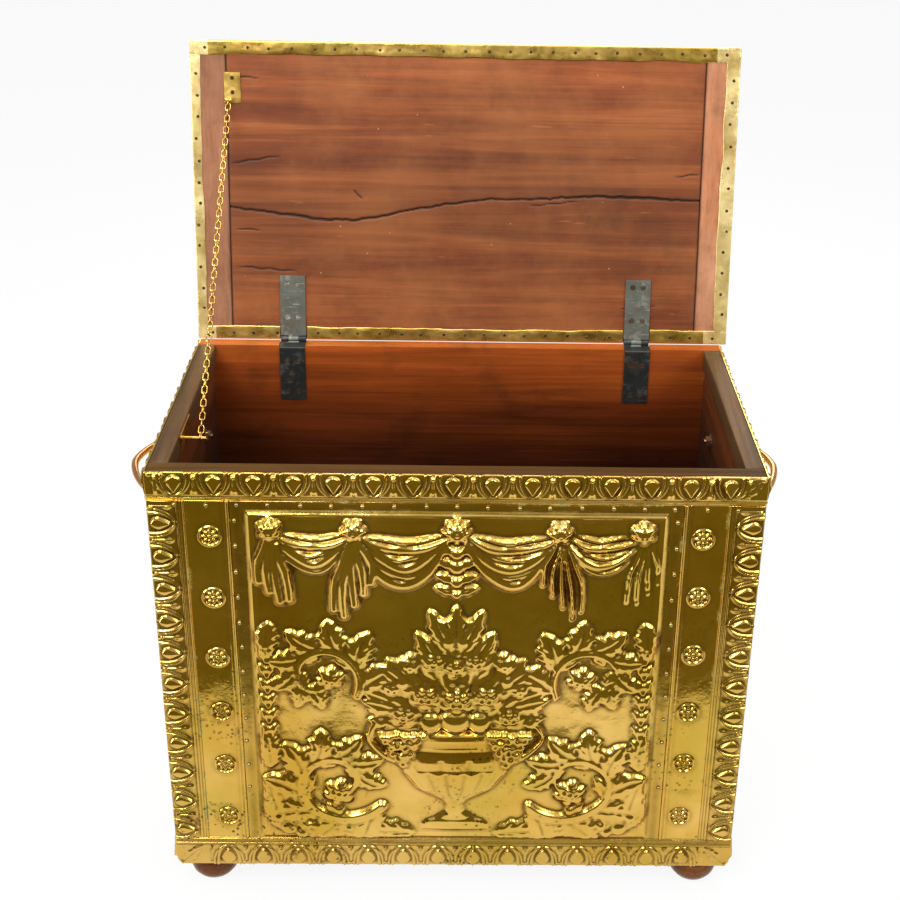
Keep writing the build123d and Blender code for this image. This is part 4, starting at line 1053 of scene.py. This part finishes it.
def lid_wood_pieces():
    """The lid's inside: board with its crack, and a cleat at each end."""
    left, right = -LID_WIDTH / 2 + 0.6, LID_WIDTH / 2 - 0.6
    joints_u = (-LID_WIDTH / 2 + 32.9, LID_WIDTH / 2 - 31.4)
    vs = steps(0.6, LID_DEPTH - 0.6, 1.0)
    place = place_on((LID_MIDDLE, LID_REAR, LID_WOOD), (1, 0, 0), (0, -1, 0), True)
    for node, u0, u1, material, slot in (
        ("lid_board", joints_u[0] + 0.15, joints_u[1] - 0.15, lid_wood, "lid_wood"),
        ("lid_left_cleat", left, joints_u[0] - 0.15, left_cleat_wood, "cleat_wood"),
        ("lid_right_cleat", joints_u[1] + 0.15, right, cleat_wood, "cleat_wood"),
    ):
        us = steps(u0, u1, 1.1)
        U, V = np.meshgrid(us, vs)
        H = -0.25 + 0.15 * np.sin(U / 37.0) * np.sin(V / 29.0)
        edge = np.minimum(U - u0, u1 - U)
        H = H - 0.7 * np.exp(-((edge / 0.9) ** 2))
        # Painted shade: board edges and cracks are given a hollow value, and the wood material darkens them
        # nearly to black.
        extra = np.clip(np.exp(-((edge / 1.0) ** 2)), 0, 1) * 0.8
        if node == "lid_board":
            deep = lid_cracks(U, V)
            H = H - deep
            extra = np.maximum(extra, np.clip(deep / 1.6, 0, 1))
            barrel = np.zeros_like(U, dtype=bool)
            for centre in HINGE_CENTRES:
                barrel |= (np.abs(U + LID_MIDDLE - centre) < 12.5) & (V < 4.2)
            H = np.where(barrel, -5.0, H)
        relief(f"{node}_worn", us, vs, H, place, 11.0, material, "lid", [node], hollow_gain=0.15,
               extra_hollow=extra)


def lid_underside_brass():
    """The brass turned under the lid's edge, in four hand-cut strips with an uneven inner edge."""
    half_w = LID_WIDTH / 2
    bm = bmesh.new()
    values = np.random.default_rng(40)
    matrix = place_on((LID_MIDDLE, LID_REAR, LID_WOOD), (1, 0, 0), (0, -1, 0), True)
    for name, start, end, across, width, seed in (
        ("left", (-half_w, 0), (-half_w, LID_DEPTH), (1, 0), 9.7, 31),
        ("right", (half_w, LID_DEPTH), (half_w, 0), (-1, 0), 12.4, 32),
        ("free", (-half_w, LID_DEPTH), (half_w, LID_DEPTH), (0, -1), 13.3, 33),
        ("hinge", (half_w, 0), (-half_w, 0), (0, 1), 12.6, 34),
    ):
        length = math.hypot(end[0] - start[0], end[1] - start[1])
        count = int(length / 2.0)
        dx, dy = (end[0] - start[0]) / length, (end[1] - start[1]) / length
        ragged = np.cumsum(values.standard_normal(count + 1)) * 0.12
        ragged -= np.linspace(ragged[0], ragged[-1], count + 1)
        rows = []
        for i in range(count + 1):
            s = length * i / count
            wide = width + float(np.clip(ragged[i], -1.2, 1.2)) + 0.35 * math.sin(s / 9.0)
            lift = 0.10 * math.sin(s / 6.3 + seed) + 0.08 * math.sin(s / 2.9)
            row = []
            for t, h in ((0.6, -11.2), (0, -11.5), (0, -6.0 + lift), (0, 0.3), (0.4, 0.58), (1.6, 0.62),
                         (wide * 0.33, 0.58 + lift), (wide * 0.66, 0.60 - lift), (wide - 0.8, 0.55 + lift),
                         (wide - 0.1, 0.42), (wide, 0.15), (wide, -0.35)):
                u = start[0] + dx * s + across[0] * t
                v = start[1] + dy * s + across[1] * t
                row.append(bm.verts.new(matrix @ Vector((u, v, h))))
            rows.append(row)
        for i in range(count):
            middle = start[0] + dx * length * (i + 0.5) / count
            hinge_off = min(abs(middle - (centre - LID_MIDDLE)) for centre in HINGE_CENTRES)
            if name == "hinge" and hinge_off < HINGE_GAP + 0.2:
                continue
            for a in range(len(rows[i]) - 1):
                bm.faces.new([rows[i][a], rows[i + 1][a], rows[i + 1][a + 1], rows[i][a + 1]])
    bmesh_piece("lid_turned_edge", bm, lid_edge_brass, "lid", ())


def lid_top_piece():
    """The brass over the lid's top: bands on four sides and a hammered field."""
    half_w, half_d = LID_WIDTH / 2, LID_DEPTH / 2
    us, vs = steps(-half_w, half_w, 1.25), steps(-half_d, half_d, 1.25)
    U, V = np.meshgrid(us, vs)
    du, dv = half_w - np.abs(U), half_d - np.abs(V)
    t = np.minimum(du, dv)
    lines = [(24.0, 0.9, 1.1), (27.0, 0.8, 0.9), (29.2, 0.8, 1.0)]
    H = band_profile(t, 22.6, SIDE_BAND, lines)
    on_long = dv < du
    along = np.where(on_long, U, V)
    reach = np.where(on_long, half_w, half_d)
    pitch = np.where(on_long, 31.9, 31.5)
    a = np.mod(along + pitch / 2, pitch) - pitch / 2
    eggs = egg_band(a, t - 0.6, 21.6, 31.9, 0.0, 0.0)
    H = H + eggs * (np.abs(along) < reach - 30)
    for su in (-1, 1):
        for sv in (-1, 1):
            H = corner_leaf(H, U, V, (su * (half_w - 3), sv * (half_d - 3)), math.atan2(-sv, -su))
    inner = np.clip((t - 38) / 3, 0, 1)
    H = H + 2.0 * inner + ridge(t - 46, 0.9, 0.9) + ridge(t - 50, 0.8, 0.6)
    medal = np.zeros_like(U)
    for k in range(12):
        medal = leaf(medal, U, V, (14 * math.cos(k * math.pi / 6), 14 * math.sin(k * math.pi / 6)),
                     k * math.pi / 6,
                     40 if k % 2 else 30, 8, 2.6, 0.0, 4)
    medal = flower(medal, U, V, (0, 0), 20, 3.6, 8, 0.1)
    for sx in (-1, 1):
        for k in range(-3, 4):
            medal = leaf(medal, U, V, (sx * 86, 0), (0 if sx > 0 else math.pi) + sx * 0.36 * k,
                         74 - 7 * abs(k), 9.0, 2.8,
                         0.06 * k * sx, 5)
        medal = flower(medal, U, V, (sx * 84, 0), 13, 3.4, 6, 0.2)
        for sy in (-1, 1):
            for k in range(6):
                medal = leaf(medal, U, V, (sx * (150 - 22 * k), sy * 70),
                             (math.pi if sx > 0 else 0) + sx * sy * 0.3, 24, 5.5,
                             2.2, 0.1 * sx * sy, 3)
    cell = us[1] - us[0]
    wobble = smooth_noise(U.shape, 22 / cell, 51) * 0.5 + smooth_noise(U.shape, 9 / cell, 52) * 0.15
    H = H + medal * inner + wobble * np.clip((t - 30) / 8, 0, 1) + sheet_waves(U, V, 0.5)
    H = H * np.clip(t / 1.2, 0, 1)
    place = place_on((LID_MIDDLE, LID_REAR - half_d, LID_TOP), (1, 0, 0), (0, 1, 0), True)
    seam = np.maximum(ridge(t - SIDE_BAND, 1.2, 0.8), ridge(t, 1.5, 0.4))
    relief("lid_top_relief", us, vs, H, place, 0.6, plain_brass, "lid", ["lid_brass"], seam=seam,
           hollow_gain=0.6)


def lid_nail_heads():
    """Nails along the turned edge, clear of the hinges."""
    bm = bmesh.new()
    half_w = LID_WIDTH / 2
    places = []
    for k in range(25):
        u = (k - 12) * 20.0
        places.append((u, LID_DEPTH - 6.6))
        if min(abs(u + LID_MIDDLE - centre) for centre in HINGE_CENTRES) > 16:
            places.append((u, 6.3))
    for k in range(12):
        v = LID_DEPTH / 2 + (k - 5.5) * 20.0
        places += [(-half_w + 4.9, v), (half_w - 6.2, v)]
    for u, v in places:
        u, v = u + rng.uniform(-1.5, 1.5), v + rng.uniform(-0.7, 0.7)
        lathe(bm, NAIL, aim((LID_MIDDLE + u, LID_REAR - v, LID_UNDER), (0, 0, -1), True), 10)
    bmesh_piece("lid_edge_nails", bm, dark_nails, "lid", ["lid_nails"])


lid_wood_pieces()
lid_underside_brass()
lid_top_piece()
lid_nail_heads()


# The two ends

def side_piece(side, name):
    """The brass of one end: bands at top and bottom, a raised field, and the corner wrap below."""
    half_d = REAR
    us, vs = steps(-half_d + SKIN, half_d, 1.1), steps(CORNER, HEIGHT, 1.1)
    U, V = np.meshgrid(us, vs)
    t_top, t_low = HEIGHT - V, V
    H = band_profile(t_top, 22.0, TOP_BAND, [(23.3, 0.9, 1.1)])
    H = np.maximum(H, band_profile(t_low, 23.2, LOW_BAND, [(24.0, 0.8, 1.2), (28.9, 0.9, 1.3)]))
    H = H + egg_band(U, t_top - 0.6, 21.0, 31.5, -126.0, 126.0)
    H = H + egg_band(U, t_low - 0.6, 22.4, 31.5, -126.0, 126.0)
    edge = np.minimum(np.minimum(U + half_d, half_d - U), np.minimum(V - LOW_BAND, HEIGHT - TOP_BAND - V))
    H = H + 2.0 * np.clip((edge - 26) / 3, 0, 1) + ridge(edge - 20, 0.9, 1.0) + ridge(edge - 34, 0.8, 0.8)
    medal = np.zeros_like(U)
    for k in range(16):
        angle = k * math.pi / 8
        medal = leaf(medal, U, V, (16 * math.cos(angle), 170 + 16 * math.sin(angle)), angle,
                     46 if k % 2 else 34, 8.5,
                     3.0, 0.08, 4)
    medal = flower(medal, U, V, (0, 170), 24, 4.4, 8, 0.1)
    medal = medal + ridge(np.hypot(U, V - 170) - 68, 1.6, 1.4)
    cell = us[1] - us[0]
    wobble = smooth_noise(U.shape, 24 / cell, 60 + side) * 0.6 + smooth_noise(U.shape, 10 / cell,
                                                                              63 + side) * 0.15
    H = H + medal * (edge > 30) + wobble * np.clip(edge / 12, 0, 1) + sheet_waves(U, V, 0.6)
    seam = np.maximum(ridge(t_top - TOP_BAND, 1.2, 1.0), ridge(t_low - LOW_BAND, 1.2, 1.0))
    place = place_on((side * HALF, 0, BASE), (0, side, 0), (0, 0, 1))
    relief(f"{name}_end_relief", us, vs, H, place, SKIN, plain_brass, "box", [f"{name}_side_brass"],
           seam=seam, hollow_gain=0.6)
    bm = bmesh.new()
    turns = [math.pi / 2 * k / 8 for k in range(9)]
    ring, inner = ([(HALF - CORNER + radius * math.cos(turn),
                     CORNER - radius * math.sin(turn)) for turn in turns]
                   for radius in (CORNER, CORNER - SKIN))
    loops = []
    for j in range(15):
        y = FRONT + SKIN + (REAR - FRONT - SKIN) * j / 14
        dent = 0.15 * math.sin(j * 1.7)
        loops.append([bm.verts.new((side * (x + dent), y, BASE + z)) for x, z in ring + inner[::-1]])
    for a, b in zip(loops, loops[1:]):
        for k in range(len(a)):
            after = (k + 1) % len(a)
            bm.faces.new([a[k], a[after], b[after], b[k]])
    bm.faces.new(loops[0])
    bm.faces.new(loops[-1])
    bm.transform(TO_ROW)
    bmesh_piece(f"{name}_end_corner_wrap", bm, plain_brass, "box", ())
    low, high = sorted((side * (HALF - 12), side * HALF))
    plank(f"{name}_back_flange", (low, REAR - 0.05, BASE + CORNER), (high, REAR + SKIN, RIM - 3), edge_brass,
          (),
          0.2, 0.1)


for side, name in SIDES:
    side_piece(side, name)


def back_tacks():
    bm = bmesh.new()
    for side in (-1, 1):
        for k in range(9):
            z = BASE + 12 + (k + 0.5) * 40.0
            lathe(bm, NAIL, aim((side * (HALF - 6) + rng.uniform(-1, 1), REAR + 0.75, z), (0, 1, 0)), 10)
    bmesh_piece("back_edge_nail_heads", bm, dark_nails, "box", ["back_edge_tacks"])


back_tacks()


# The chain

def link_points(centre_length, width, count=10):
    """The middle line of one link, long along Y."""
    radius = width / 2
    straight = centre_length / 2 - radius
    points = []
    for end in (1, -1):
        for k in range(count):
            turn = (k + 0.5) * math.pi / count + (0 if end > 0 else math.pi)
            points.append(Vector((radius * math.cos(turn), end * straight + radius * math.sin(turn), 0)))
    return points


def chain():
    """Round-wire links, each square to the next, between the hook and the bracket."""
    hook = Vector(joints["chain_hook_swing"]["pos_m"])
    bracket = Vector(joints["chain_bracket_swing"]["pos_m"])
    along = (bracket - hook).normalized()
    wire, width, play, open_play = 1.3, 5.8, 0.1, 0.3
    end_radius = (width - wire) / 2
    length = (bracket - hook).length / MM
    parting = open_play - play
    room = length + 2 * end_radius - wire - play - parting
    count = 2 * round(room / 6.2 / 2) + 1
    pitch = room / count
    centre_length = pitch + wire + play
    flat = along.cross(Vector((1, 0, 0))).normalized()
    crossed = flat.cross(along)
    halves = {"lower": bmesh.new(), "upper": bmesh.new()}
    for k in range(count):
        part = "upper" if k >= 26 else "lower"
        travel = k * pitch + centre_length / 2 - end_radius + (parting if part == "upper" else 0)
        wide = flat if k % 2 == 0 else crossed
        lean = math.radians(rng.uniform(-9, 9))
        wide = Matrix.Rotation(lean, 3, along) @ wide
        matrix = Matrix((wide, along, wide.cross(along))).transposed().to_4x4()
        matrix = Matrix.Translation(hook + along * travel * MM) @ matrix @ Matrix.Scale(MM, 4)
        points = link_points(centre_length, width - wire)
        tube(halves[part], points, wire / 2, matrix, Vector((0, 0, 1)), 8, True)
    for part, bm in halves.items():
        bmesh_piece(f"chain_links_{part}", bm, chain_brass, f"chain_{part}", [f"chain_{part}_half"])


chain()


# Carried-over nodes get their own looks
LOOKS = {
    "front_board": wall_wood, "back_board": wall_wood, "left_board": side_wood, "right_board": side_wood,
    "floor_board": wall_wood, "back_rim_rail": wall_wood,
    "left_hinge_upper_screws": zinc, "right_hinge_upper_screws": rusty_steel,
    "left_hinge_lower_screws": rusty_steel, "right_hinge_lower_screws": rusty_steel,
    "left_hinge_pin": rusty_steel, "right_hinge_pin": rusty_steel, "handle_nuts": rusty_steel,
    "chain_hook": edge_brass, "chain_hook_screws": rusty_steel, "chain_bracket": edge_brass,
    "chain_bracket_screws": dark_nails,
}
for leaf_side in ("left", "right"):
    LOOKS[f"{leaf_side}_hinge_upper_leaf"] = rubbed_paint
    LOOKS[f"{leaf_side}_hinge_lower_leaf"] = strap_paint
for node, material in LOOKS.items():
    target = frame["nodes"][node]
    if not target.material_slots:
        target.data.materials.append(material)
    for material_slot in target.material_slots:
        material_slot.material = material


# Floor, light and camera

def empty_nodes(owner):
    """The cleared node tree of a material or a world."""
    owner.use_nodes = True
    owner.node_tree.nodes.clear()
    return Nodes(owner.node_tree)


def shade(n, kind, colour=(1, 1, 1), strength=1.0):
    """The output of one shader node."""
    node = n.add(kind)
    if hasattr(colour, "links"):
        n.join(colour, node.inputs["Color"])
    else:
        node.inputs["Color"].default_value = (*colour, 1)
    if "Strength" in node.inputs:
        node.inputs["Strength"].default_value = strength
    return node.outputs[0]


def blend(n, share, first, second):
    """Two shaders mixed by a number or by what a node gives."""
    node = n.add("ShaderNodeMixShader")
    if hasattr(share, "links"):
        n.join(share, node.inputs[0])
    else:
        node.inputs[0].default_value = share
    n.join(first, node.inputs[1])
    n.join(second, node.inputs[2])
    return node.outputs[0]


def studio():
    """A pale floor, a soft world and lamps, and what polished metal sees of the room."""
    bpy.ops.mesh.primitive_plane_add(size=60.0, location=(0, 0, 0))
    floor = bpy.context.object
    floor.name = "floor"
    material = bpy.data.materials.new("floor_paper")
    n = empty_nodes(material)
    ray = n.add("ShaderNodeLightPath").outputs
    paper = shade(n, "ShaderNodeBsdfDiffuse", (0.82, 0.82, 0.81))
    seen = blend(n, 0.90, paper, shade(n, "ShaderNodeEmission"))
    near = n.ramp(n.math("ADD", n.axis("Y"), 1.0),
                  [(0.537, (0.18, 0.145, 0.03)), (0.545, (0.96, 0.91, 0.83))])
    lit = blend(n, ray["Is Camera Ray"], paper, seen)
    mirrored = blend(n, ray["Is Glossy Ray"], lit, shade(n, "ShaderNodeEmission", near))
    n.join(mirrored, n.add("ShaderNodeOutputMaterial").inputs["Surface"])
    floor.data.materials.append(material)

    world = bpy.data.worlds.new("studio")
    bpy.context.scene.world = world
    n = empty_nodes(world)
    n.place = n.add("ShaderNodeTexCoord").outputs["Generated"]
    ray = n.add("ShaderNodeLightPath").outputs
    room = n.ramp(n.axis("Z"), [(0.0, (0.17, 0.14, 0.05)), (0.22, (0.16, 0.135, 0.06)),
                                (0.30, (0.85, 0.84, 0.78)),
                                (0.50, (0.20, 0.18, 0.10)), (0.80, (1.0, 0.99, 0.96))])
    soft = shade(n, "ShaderNodeBackground", strength=0.55)
    around = blend(n, ray["Is Glossy Ray"], soft, shade(n, "ShaderNodeBackground", room))
    white = blend(n, ray["Is Camera Ray"], around, shade(n, "ShaderNodeBackground"))
    n.join(white, n.add("ShaderNodeOutputWorld").inputs["Surface"])

    for name, place, size, power in (
        ("key", (-0.9, -1.5, 1.9), 1.1, 34), ("fill", (1.3, -1.3, 1.5), 0.9, 18),
        ("top", (0.1, 0.1, 2.3), 1.2, 22),
        ("left_low", (-1.6, -0.7, 0.6), 0.6, 8), ("back", (0.3, 1.8, 1.6), 1.0, 14),
    ):
        data = bpy.data.lights.new(name, "AREA")
        data.shape, data.size, data.energy = "SQUARE", size, power
        lamp = bpy.data.objects.new(name, data)
        lamp.location = place
        lamp.rotation_euler = (Vector((0, 0, 0.3)) - Vector(place)).to_track_quat("-Z", "Y").to_euler()
        bpy.context.collection.objects.link(lamp)


def camera():
    """The photograph's viewpoint."""
    azimuth, elevation, roll = (math.radians(a) for a in (1.279, 24.732, 1.182))
    look = Vector((math.sin(azimuth) * math.cos(elevation), math.cos(azimuth) * math.cos(elevation),
                   -math.sin(elevation)))
    right = look.cross(Vector((0, 0, 1))).normalized()
    up = right.cross(look)
    turned_right = right * math.cos(roll) + up * math.sin(roll)
    turned_up = up * math.cos(roll) - right * math.sin(roll)
    matrix = Matrix((turned_right, turned_up, -look)).transposed().to_4x4()
    data = bpy.data.cameras.new("view")
    place = Vector((0.005989, -1.239096, 0.988049))
    data.lens, data.sensor_width = 60.39, 36.0
    data.shift_x, data.shift_y = -0.0518, -0.0537
    view = bpy.data.objects.new("view", data)
    view.matrix_world = Matrix.Translation(place) @ matrix
    bpy.context.collection.objects.link(view)
    bpy.context.scene.camera = view


studio()
camera()
bpy.context.scene.view_settings.view_transform = "Standard"
